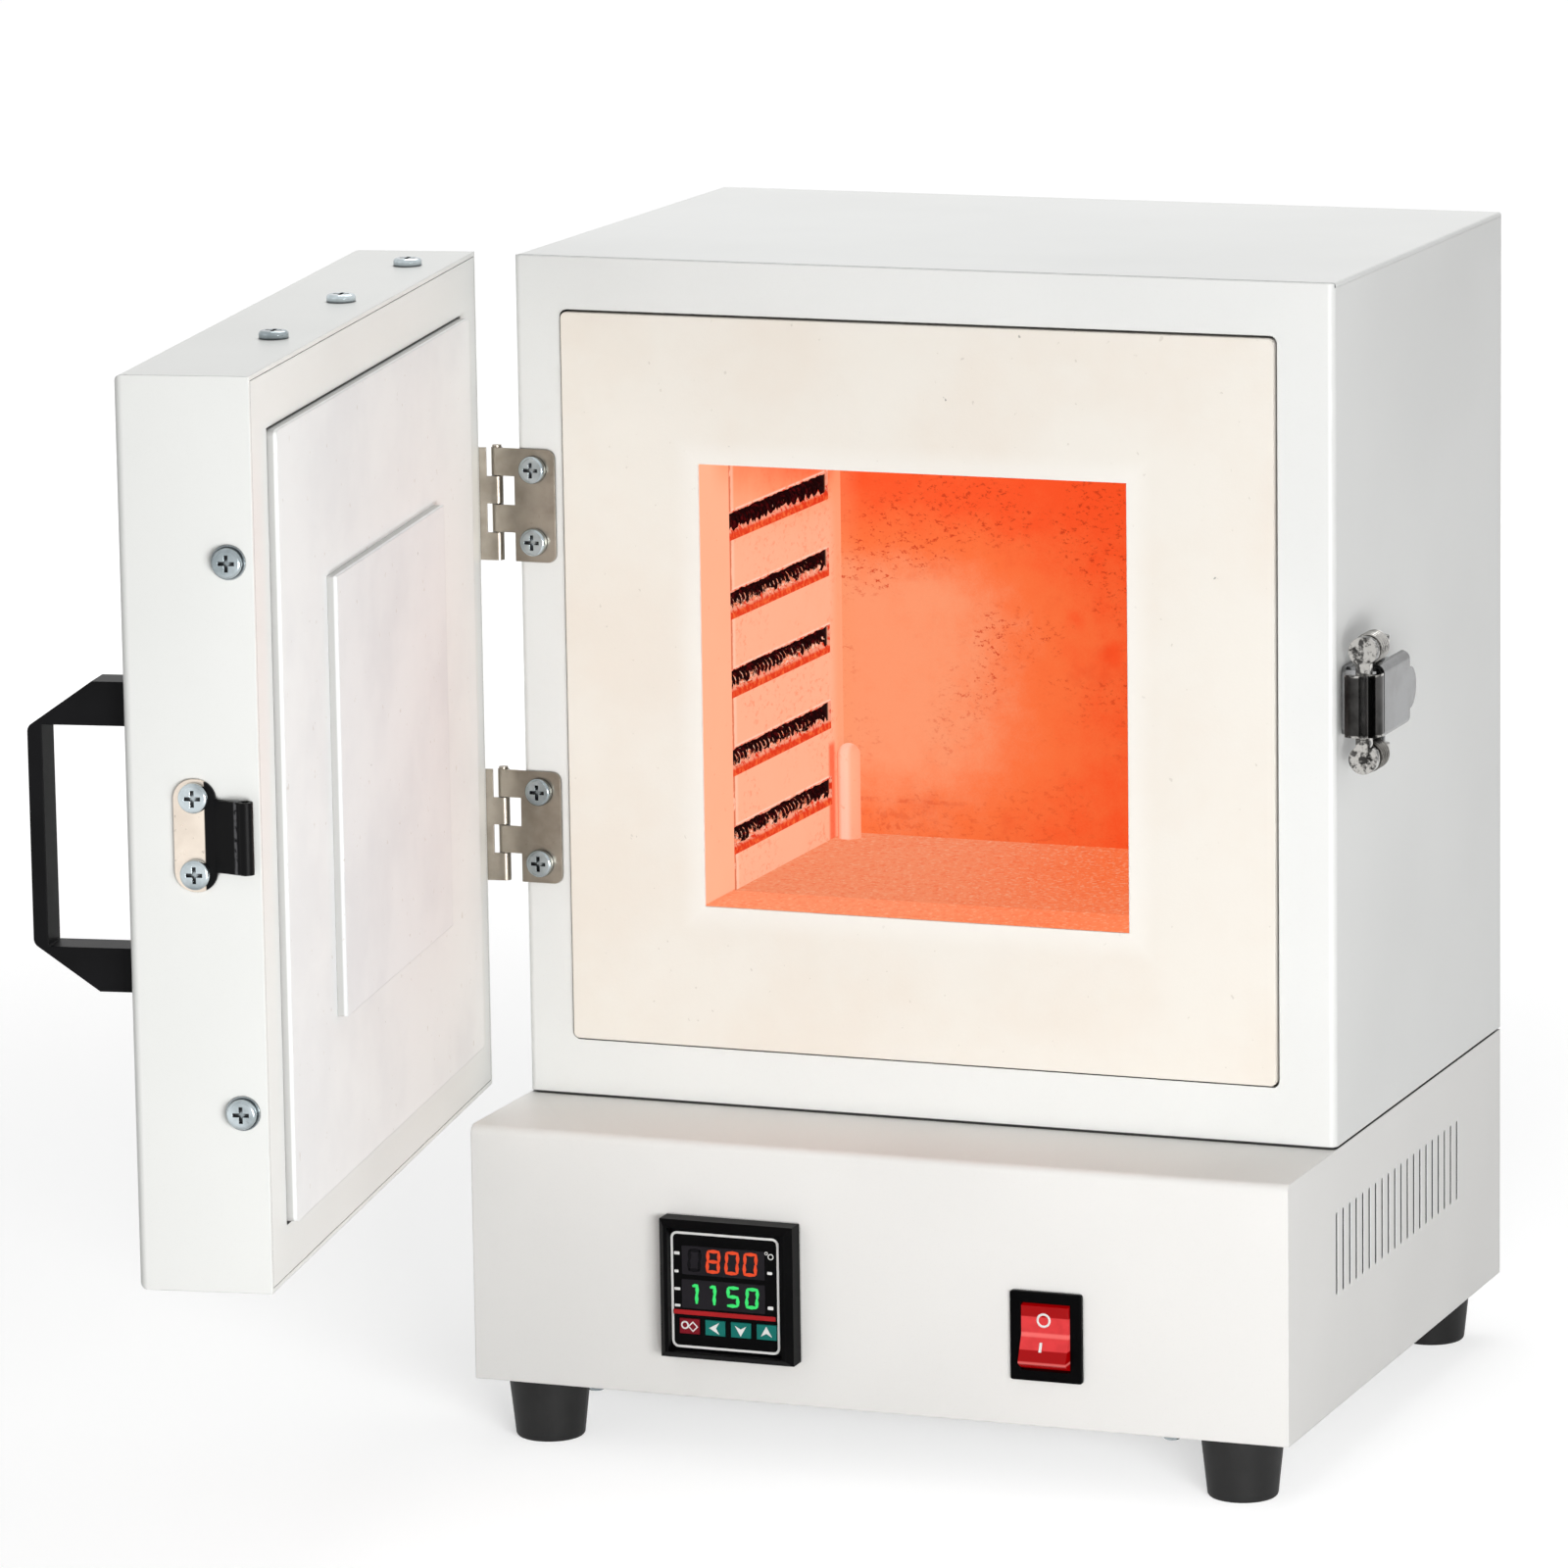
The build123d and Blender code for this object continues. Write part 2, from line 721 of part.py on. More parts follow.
def make_switch():
    """The rocker switch, with its top pressed in."""
    bezel_front = box_front - switch_proud
    pivot_y = bezel_front + rocker_pivot_depth
    cavity_x = rocker_width / 2 + rocker_gap
    cavity_z = rocker_reach + rocker_gap
    cavity_back = pivot_y + switch_well_depth
    base_back = cavity_back + switch_base_depth
    frame = block(switch_x - switch_width / 2, switch_x + switch_width / 2, bezel_front, box_front,
                  switch_z - switch_tall / 2, switch_z + switch_tall / 2)
    frame = fillet(frame.edges().filter_by(Axis.Y), switch_corner)
    frame = fillet(frame.faces().sort_by(Axis.Y)[0].edges(), switch_edge)
    frame += block(switch_x - switch_body_width / 2, switch_x + switch_body_width / 2,
                   box_front - 1, base_back,
                   switch_z - switch_body_tall / 2, switch_z + switch_body_tall / 2)
    frame -= block(switch_x - cavity_x, switch_x + cavity_x, bezel_front - 1, cavity_back,
                   switch_z - cavity_z, switch_z + cavity_z)
    pin_reach = cavity_x + rocker_pin_bite
    pin_tool = rod(rocker_pin_radius + running_gap, (switch_x - pin_reach - 0.1, pivot_y, switch_z),
                   (switch_x + pin_reach + 0.1, pivot_y, switch_z))
    frame -= pin_tool
    face_distance = rocker_pivot_depth + rocker_crest_proud
    crest = face_distance / cos(radians(rocker_tilt))
    reach = rocker_reach + 1
    wing = crest + reach * tan(radians(rocker_tilt))
    profile = Polygon((-rocker_back, -reach), (wing, -reach), (crest, 0), (wing, reach),
                      (-rocker_back, reach), align=None)
    profile &= Circle(rocker_reach)
    plane = Plane(origin=(switch_x, pivot_y, switch_z), x_dir=(0, -1, 0), z_dir=(-1, 0, 0))
    rocker = extrude(plane * profile, amount=rocker_width / 2, both=True)
    rocker += rod(rocker_pin_radius, (switch_x - pin_reach, pivot_y, switch_z),
                  (switch_x + pin_reach, pivot_y, switch_z))
    rocker = rocker.rotate(Axis((switch_x, pivot_y, switch_z), (1, 0, 0)), -rocker_tilt)
    tabs = []
    tab_half_x = switch_tab_thickness / 2
    tab_half_z = switch_tab_width / 2
    for sx in (-1, 1):
        for sz in (-1, 1):
            x = switch_x + sx * switch_tab_spread_x / 2
            z = switch_z + sz * switch_tab_spread_z / 2
            tabs.append(block(x - tab_half_x, x + tab_half_x, base_back,
                              base_back + switch_tab_length, z - tab_half_z, z + tab_half_z))
    return {"switch_frame": group([frame, *tabs]), "rocker": rocker}


def make_electrics():
    """The parts on the control box floor: relay, heat sink, terminals and wires."""
    floor_top = box_bottom + sheet
    sink_left = relay_x - sink_width / 2
    sink_right = relay_x + sink_width / 2
    sink_front = relay_y - sink_length / 2
    sink_back = relay_y + sink_length / 2
    relay_bottom = floor_top + sink_tall
    sink = block(sink_left, sink_right, sink_front, sink_back, floor_top, floor_top + sink_plate)
    for i in range(sink_fin_count):
        x = relay_x + (i - (sink_fin_count - 1) / 2) * sink_fin_pitch
        sink += block(x - sink_fin_thickness / 2, x + sink_fin_thickness / 2, sink_front, sink_back,
                      floor_top, relay_bottom)
    sink += block(sink_left, sink_right, sink_front, sink_back,
                  relay_bottom - sink_plate, relay_bottom)
    relay = block(relay_x - relay_width / 2, relay_x + relay_width / 2,
                  relay_y - relay_length / 2, relay_y + relay_length / 2,
                  relay_bottom, relay_bottom + relay_tall)
    relay = fillet(relay.edges().filter_by(Axis.Z), relay_corner)

    terminal_front = terminal_y - terminal_width / 2
    terminal_right = terminal_x + terminal_length / 2
    terminal_top = floor_top + terminal_tall
    well_places = [
        terminal_x + (i - (terminal_well_count - 1) / 2) * terminal_well_pitch
        for i in range(terminal_well_count)
    ]
    terminal = block(terminal_x - terminal_length / 2, terminal_right, terminal_front,
                     terminal_y + terminal_width / 2, floor_top, terminal_top)
    for x in well_places:
        terminal -= rod(terminal_well_radius, (x, terminal_y, terminal_top - terminal_well_depth),
                        (x, terminal_y, terminal_top + 1))

    wires = []
    controller_end = box_front + controller_length
    landing_z = floor_top + signal_wire_rise
    for i in range(signal_wire_count):
        x = controller_x + (i - (signal_wire_count - 1) / 2) * signal_wire_spread
        z = controller_z + (i - (signal_wire_count - 1) / 2) * signal_wire_step
        route = FilletPolyline(
            (x, controller_end, z),
            (x, controller_end + signal_wire_run, z),
            (well_places[i], terminal_front - signal_wire_landing, landing_z),
            (well_places[i], terminal_front, landing_z),
            radius=signal_wire_bend,
        )
        wires.append(sweep(Plane(origin=route @ 0, z_dir=route % 0) * Circle(wire_radius), path=route))
    relay_left = relay_x - relay_width / 2
    for i in range(2):
        y = terminal_y + (i - 0.5) * relay_wire_spread
        start_z = floor_top + relay_wire_rise
        end_z = relay_bottom + (i + 1) * relay_wire_rise
        turn_x = terminal_right + 2 * relay_wire_run + i * relay_wire_stagger
        route = FilletPolyline(
            (terminal_right, y, start_z),
            (terminal_right + relay_wire_run, y, start_z),
            (turn_x, y - relay_wire_shift, end_z),
            (relay_left, y - relay_wire_shift, end_z),
            radius=relay_wire_bend,
        )
        wires.append(sweep(Plane(origin=route @ 0, z_dir=route % 0) * Circle(wire_radius), path=route))
    return {
        "relay_heat_sink": sink,
        "relay": relay,
        "terminal_block": terminal,
        "wiring": group(wires),
    }


def make_shell():
    """The sheet metal of the furnace body."""
    seam_bottom = box_top + seam
    front = block(-side, side, body_front, body_front + fold_radius, seam_bottom, body_top)
    front = fillet(front.edges().filter_by(Axis.Z).group_by(Axis.Y)[0], front_fold_radius)
    front -= block(-inner_side, inner_side, body_front + sheet, body_front + fold_radius + 1,
                   seam_bottom - 1, body_top + 1)
    front -= block(-side - 1, side + 1, body_front + sheet, body_front + fold_radius + 1,
                   body_ceiling, body_top + 1)
    opening_x = board_width / 2 + board_seam
    opening_z = board_tall / 2 + board_seam
    opening = block(board_x - opening_x, board_x + opening_x, body_front - 1, body_front + sheet + 1,
                    board_z - opening_z, board_z + opening_z)
    front -= fillet(opening.edges().filter_by(Axis.Y), frame_corner)
    panels = {}
    for sx, name in ((-1, "side_panel_left"), (1, "side_panel_right")):
        edges = sorted((sx * side, sx * inner_side))
        panels[name] = block(edges[0], edges[1], body_front + fold_radius, rear,
                             seam_bottom, body_ceiling)
    top = block(-side, side, body_front + sheet + seam, rear, body_ceiling, body_top)
    top = fillet(top.edges().filter_by(Axis.Y).group_by(Axis.Z)[-1], top_edge_radius)
    bottom = block(-inner_side + slip, inner_side - slip, body_front + sheet + slip,
                   body_rear - slip, box_top, box_top + sheet)
    bottom -= rod(probe_radius + 2 * probe_gap, (probe_x, probe_y, box_top - 1),
                  (probe_x, probe_y, box_top + sheet + 1))
    back = block(-inner_side + slip, inner_side - slip, body_rear, rear, seam_bottom,
                 body_ceiling - slip)
    screws = []
    for sx, name in ((-1, "side_panel_left"), (1, "side_panel_right")):
        panels[name] += rear_flange(sx, seam_bottom + 2 * sheet, body_ceiling)
        low_screw = seam_bottom + back_panel_screw_inset
        high_screw = body_ceiling - back_panel_screw_inset
        for z in (low_screw, (low_screw + high_screw) / 2, high_screw):
            x = sx * (inner_side - flange_screw_inset)
            hole = rod(small_screw_radius + screw_clearance, (x, body_rear - 9, z), (x, rear + 1, z))
            back -= hole
            panels[name] -= hole
            screws.append(small_screw((x, rear, z), (0, 1, 0)))
    for x, z in hinge_screw_places():
        front -= rod(machine_screw_radius + screw_clearance, (x, body_front - 1, z),
                     (x, body_front + sheet + 1, z))
    for y in latch_screw_places():
        panels["side_panel_right"] -= rod(
            small_screw_radius + screw_clearance, (inner_side - 1, y, latch_z), (side + 1, y, latch_z)
        )
    return {
        "front_frame": front,
        "top_panel": top,
        "bottom_panel": bottom,
        "back_panel": back,
        "panel_screws": group(screws),
        **panels,
    }


def hinge_screw_places():
    """X and Z of the screws of both hinge leaves on the body."""
    return [
        (pin_x + leaf_screw_reach, hinge_z + sign * leaf_screw_spread / 2)
        for hinge_z in hinge_places
        for sign in (-1, 1)
    ]


def latch_screw_places():
    """Y of the two screws that hold the latch plate."""
    last = body_front + latch_plate_start + latch_plate_length - latch_screw_inset
    return [last - latch_screw_pitch, last]


def make_lining():
    """The refractory board and bricks around the chamber, and the fibre behind them."""
    board = block(board_x - board_width / 2, board_x + board_width / 2, board_face, board_rear,
                  board_z - board_tall / 2, board_z + board_tall / 2)
    board = fillet(board.edges().filter_by(Axis.Y), board_corner)
    board -= block(chamber_left, chamber_right, board_face - 1, board_rear + 1,
                   chamber_floor, chamber_ceiling)
    brick_left = chamber_left - brick_thickness
    brick_right = chamber_right + brick_thickness
    brick_bottom = chamber_floor - brick_thickness
    brick_top = chamber_ceiling + brick_thickness
    brick_rear = chamber_rear + brick_thickness
    left = block(brick_left, chamber_left, board_rear, chamber_rear, chamber_floor, chamber_ceiling)
    right = block(chamber_right, brick_right, board_rear, chamber_rear, chamber_floor, chamber_ceiling)
    for i in range(slot_count):
        z = chamber_floor + slot_first_height + i * slot_pitch
        low = z - slot_tall / 2
        high = z + slot_tall / 2
        left -= block(chamber_left - slot_deep, chamber_left + 1, board_rear - 1, slot_rear, low, high)
        right -= block(chamber_right - 1, chamber_right + slot_deep, board_rear - 1, slot_rear,
                       low, high)
    roof = block(brick_left, brick_right, board_rear, chamber_rear, chamber_ceiling, brick_top)
    hearth = block(brick_left, brick_right, board_rear, chamber_rear, brick_bottom, chamber_floor)
    hearth -= rod(probe_radius + probe_gap, (probe_x, probe_y, brick_bottom - 1),
                  (probe_x, probe_y, chamber_floor + 1))
    back = block(brick_left, brick_right, chamber_rear, brick_rear, brick_bottom, brick_top)
    fibre = block(-inner_side + air_gap, inner_side - air_gap, board_rear, body_rear - air_gap,
                  box_top + sheet, body_ceiling - air_gap)
    fibre -= block(brick_left, brick_right, board_rear - 1, brick_rear, brick_bottom, brick_top)
    fibre -= rod(probe_radius + 2 * probe_gap, (probe_x, probe_y, box_top),
                 (probe_x, probe_y, brick_bottom + 1))
    return {
        "front_board": board,
        "chamber_wall_left": left,
        "chamber_wall_right": right,
        "chamber_roof": roof,
        "chamber_hearth": hearth,
        "chamber_back": back,
        "insulation": fibre,
    }


def make_heating():
    """The coiled elements in the wall slots, and the thermocouple in the rear left corner."""
    coils = {}
    for name, axis_x in (
        ("heating_coils_left", chamber_left - slot_deep / 2),
        ("heating_coils_right", chamber_right + slot_deep / 2),
    ):
        tubes = []
        for i in range(slot_count):
            slot_bottom = chamber_floor + slot_first_height + i * slot_pitch - slot_tall / 2
            axis_z = slot_bottom + coil_rest_gap + coil_radius + coil_wire_radius
            tubes.append(coil_tube(axis_x, axis_z, board_rear, slot_rear, coil_radius,
                                   coil_wire_radius, coil_turns, coil_tail, name))
        coils[name] = group(tubes)
    head_top = box_ceiling - slip
    head = block(probe_x - probe_head_width / 2, probe_x + probe_head_width / 2,
                 probe_y - probe_head_depth / 2, probe_y + probe_head_depth / 2,
                 head_top - probe_head_tall, head_top)
    probe_top = chamber_floor + probe_rise
    probe = rod(probe_radius, (probe_x, probe_y, head_top), (probe_x, probe_y, probe_top - probe_radius))
    probe += Pos(probe_x, probe_y, probe_top - probe_radius) * Sphere(probe_radius)
    return {"thermocouple": probe, "thermocouple_head": head, **coils}


def hinge_leaf(notch, fingers, face):
    """One hinge leaf, with its pin axis at the origin and its plate reaching along X.
    The plate lies on the side that face names: -1 towards -Y, 1 towards +Y."""
    inner = knuckle_radius - leaf_thickness
    y0, y1 = sorted((face * inner, face * knuckle_radius))
    half = leaf_tall / 2
    plate = block(notch, leaf_reach, y0, y1, -half, half)
    plate = fillet(plate.edges().filter_by(Axis.Y).group_by(Axis.X)[-1], leaf_corner)
    finger_tall = leaf_tall / 4
    for i in fingers:
        top = half - i * finger_tall - (knuckle_gap / 2 if i > 0 else 0)
        bottom = half - (i + 1) * finger_tall + (knuckle_gap / 2 if i < 3 else 0)
        plate += block(0, notch + 1, y0, y1, bottom, top)
        plate += rod(knuckle_radius, (0, 0, bottom), (0, 0, top))
    plate -= rod(hinge_pin_radius + running_gap, (0, 0, -half - 1), (0, 0, half + 1))
    for sign in (-1, 1):
        z = sign * leaf_screw_spread / 2
        plate -= rod(machine_screw_radius + screw_clearance, (leaf_screw_reach, -9, z),
                     (leaf_screw_reach, 9, z))
    return plate


def make_hinges():
    """Both hinges: leaves, pins and screws. The door's leaves are swung with the door."""
    body_leaves = []
    door_leaves = []
    pins = []
    body_screws = []
    door_screws = []
    for z in hinge_places:
        place = Pos(pin_x, pin_y, z)
        body_leaves.append(place * hinge_leaf(leaf_notch_body, (0, 2), -1))
        door_leaves.append(place * Rot(0, 0, -90) * hinge_leaf(leaf_notch_door, (1, 3), 1))
        half = leaf_tall / 2
        pin = rod(hinge_pin_radius, (pin_x, pin_y, z - half), (pin_x, pin_y, z + half))
        pin += rod(hinge_pin_head_radius, (pin_x, pin_y, z + half),
                   (pin_x, pin_y, z + half + hinge_pin_head_height))
        pins.append(pin)
        for sign in (-1, 1):
            screw_z = z + sign * leaf_screw_spread / 2
            leaf_face = body_front - leaf_thickness
            body_screws.append(machine_screw((pin_x + leaf_screw_reach, leaf_face, screw_z), (0, -1, 0)))
            door_screws.append(machine_screw(
                (door_edge - leaf_thickness, pin_y - leaf_screw_reach, screw_z), (-1, 0, 0)
            ))
    return {
        "hinge_leaves_body": group(body_leaves),
        "hinge_pins": group(pins),
        "hinge_screws_body": group(body_screws),
        "hinge_leaves_door": swing_door(group(door_leaves)),
        "hinge_screws_door": swing_door(group(door_screws)),
    }


def make_door():
    """The door: a folded shell, an inner panel, and the raised board with its plug."""
    shell = block(door_edge, door_free_edge, door_front, door_face, door_bottom, door_top)
    front_edges = shell.faces().sort_by(Axis.Y)[0].edges()
    shell = fillet(front_edges, fold_radius)
    hollow = block(door_edge + sheet, door_free_edge - sheet, door_front + sheet, door_face + 1,
                   door_bottom + sheet, door_top - sheet)
    shell -= fillet(hollow.faces().sort_by(Axis.Y)[0].edges(), fold_radius - sheet)
    panel = block(door_edge + sheet + slip, door_free_edge - sheet - slip,
                  door_face - sheet, door_face,
                  door_bottom + sheet + slip, door_top - sheet - slip)
    half_x = board_width / 2
    half_z = board_tall / 2
    panel -= block(board_x - half_x - board_seam, board_x + half_x + board_seam,
                   door_face - sheet - 1, door_face + 1,
                   board_z - half_z - board_seam, board_z + half_z + board_seam)
    board_back = door_face - door_board_depth
    board = block(board_x - half_x, board_x + half_x, board_back, door_board_face,
                  board_z - half_z, board_z + half_z)
    board = fillet(board.edges().filter_by(Axis.Y), board_corner)
    plug = block(chamber_x - plug_width / 2, chamber_x + plug_width / 2, door_board_face, plug_face,
                 chamber_z - plug_tall / 2, chamber_z + plug_tall / 2)
    fibre_back = door_front + sheet + slip
    fibre = block(door_edge + sheet + air_gap, door_free_edge - sheet - air_gap, fibre_back,
                  board_back, door_bottom + sheet + air_gap, door_top - sheet - air_gap)

    screws = []
    holes = []
    screw_y = door_face - door_top_screw_inset
    for reach in door_top_screws:
        x = door_edge + reach
        screws.append(machine_screw((x, screw_y, door_top), (0, 0, 1)))
        holes.append(rod(machine_screw_radius + screw_clearance,
                         (x, screw_y, door_top - 3), (x, screw_y, door_top + 3)))
    screw_y = door_face - door_edge_screw_inset
    for z in (door_bottom + door_edge_screw_rise, door_top - door_edge_screw_rise):
        screws.append(machine_screw((door_free_edge, screw_y, z), (1, 0, 0),
                                    washer=door_edge_washer))
        holes.append(rod(machine_screw_radius + screw_clearance,
                         (door_free_edge - 3, screw_y, z), (door_free_edge + 3, screw_y, z)))
    for hinge_z in hinge_places:
        for sign in (-1, 1):
            z = hinge_z + sign * leaf_screw_spread / 2
            y = pin_y - leaf_screw_reach
            holes.append(rod(machine_screw_radius + screw_clearance,
                             (door_edge - 3, y, z), (door_edge + 3, y, z)))
    for sign in (-1, 1):
        z = keeper_z + sign * keeper_screw_spread / 2
        y = keeper_screw_y()
        holes.append(rod(machine_screw_radius + screw_clearance,
                         (door_free_edge - 3, y, z), (door_free_edge + 3, y, z)))
        z = handle_z + sign * handle_screw_spread / 2
        holes.append(rod(machine_screw_radius + screw_clearance,
                         (handle_x(), door_front - 1, z), (handle_x(), door_front + sheet + 1, z)))
        pocket_end = fibre_back + machine_screw_head_height + handle_screw_pocket_gap
        fibre -= rod(machine_screw_head_radius + handle_screw_pocket_gap,
                     (handle_x(), fibre_back - 1, z), (handle_x(), pocket_end, z))
    for hole in holes:
        shell -= hole
    pieces = {
        "door_shell": shell,
        "door_inner_panel": panel,
        "door_board": board,
        "door_plug": plug,
        "door_insulation": fibre,
        "door_screws": group(screws),
    }
    return {name: swing_door(shape) for name, shape in pieces.items()}


def handle_x():
    """The handle's middle, on the closed door."""
    return door_free_edge - handle_inset - handle_width / 2


def keeper_screw_y():
    """The keeper's screws, on the closed door."""
    return door_face - keeper_inset - keeper_width / 2


def make_handle():
    """The bow handle on the door's outer face, near its free edge."""
    foot = handle_tall / 2
    grip = handle_grip_tall / 2
    gap = handle_opening_tall / 2
    outline = Polyline(
        (0, foot), (handle_foot, foot), (handle_reach, grip), (handle_reach, -grip),
        (handle_foot, -foot), (0, -foot), (0, -gap), (handle_reach - handle_bar, -gap),
        (handle_reach - handle_bar, gap), (0, gap), close=True,
    )
    plane = Plane(origin=(handle_x(), door_front, handle_z), x_dir=(0, -1, 0), z_dir=(-1, 0, 0))
    handle = extrude(plane * make_face(outline), amount=handle_width / 2, both=True)
    outer = handle.edges().filter_by(Axis.X).group_by(Axis.Y)[0]
    handle = fillet(outer, handle_edge_radius)
    screws = []
    for sign in (-1, 1):
        z = handle_z + sign * handle_screw_spread / 2
        seat = door_front + sheet
        handle -= rod(machine_screw_radius + running_gap, (handle_x(), door_front + 1, z),
                      (handle_x(), seat - handle_screw_length - 1, z))
        screws.append(machine_screw((handle_x(), seat, z), (0, 1, 0), length=handle_screw_length))
    return {"handle": swing_door(handle), "handle_screws": swing_door(group(screws))}


def make_keeper():
    """The keeper on the door's free edge: a plate whose lip ends in a roll."""
    y0 = door_face - keeper_inset
    y1 = y0 - keeper_width
    half = keeper_tall / 2
    plate = block(door_free_edge, door_free_edge + keeper_thickness, y1, y0,
                  keeper_z - half, keeper_z + half)
    plate = fillet(plate.edges().filter_by(Axis.X), keeper_corner)
    roll_y = door_face - keeper_roll_inset
    roll_x = door_free_edge + keeper_roll_rise
    lip = keeper_lip_tall / 2
    ramp = Polygon(
        (door_free_edge, y0 - keeper_lip_lap),
        (door_free_edge + keeper_thickness, y0 - keeper_lip_lap),
        (roll_x + keeper_roll_radius, roll_y),
        (roll_x + keeper_roll_radius - keeper_thickness, roll_y),
        (door_free_edge, y0 + keeper_lip_lap),
        align=None,
    )
    ramp += Pos(roll_x, roll_y) * Circle(keeper_roll_radius)
    ramp -= Pos(roll_x, roll_y) * Circle(keeper_roll_radius - keeper_thickness)
    keeper = plate + Pos(0, 0, keeper_z - lip) * extrude(ramp, amount=keeper_lip_tall)
    screws = []
    for sign in (-1, 1):
        z = keeper_z + sign * keeper_screw_spread / 2
        y = keeper_screw_y()
        keeper -= rod(machine_screw_radius + screw_clearance, (door_free_edge - 1, y, z),
                      (door_free_edge + keeper_thickness + 1, y, z))
        screws.append(machine_screw((door_free_edge + keeper_thickness, y, z), (1, 0, 0)))
    return {"keeper": swing_door(keeper), "keeper_screws": swing_door(group(screws))}


def latch_point(back, out, up):
    """A place on the latch: how far behind the front, out from the side and up it lies."""
    return (side + out, body_front + back, latch_z + up)


def latch_block(back0, back1, out0, out1, up0, up1):
    """A box in the latch's own measures."""
    return block(side + out0, side + out1, body_front + back0, body_front + back1,
                 latch_z + up0, latch_z + up1)


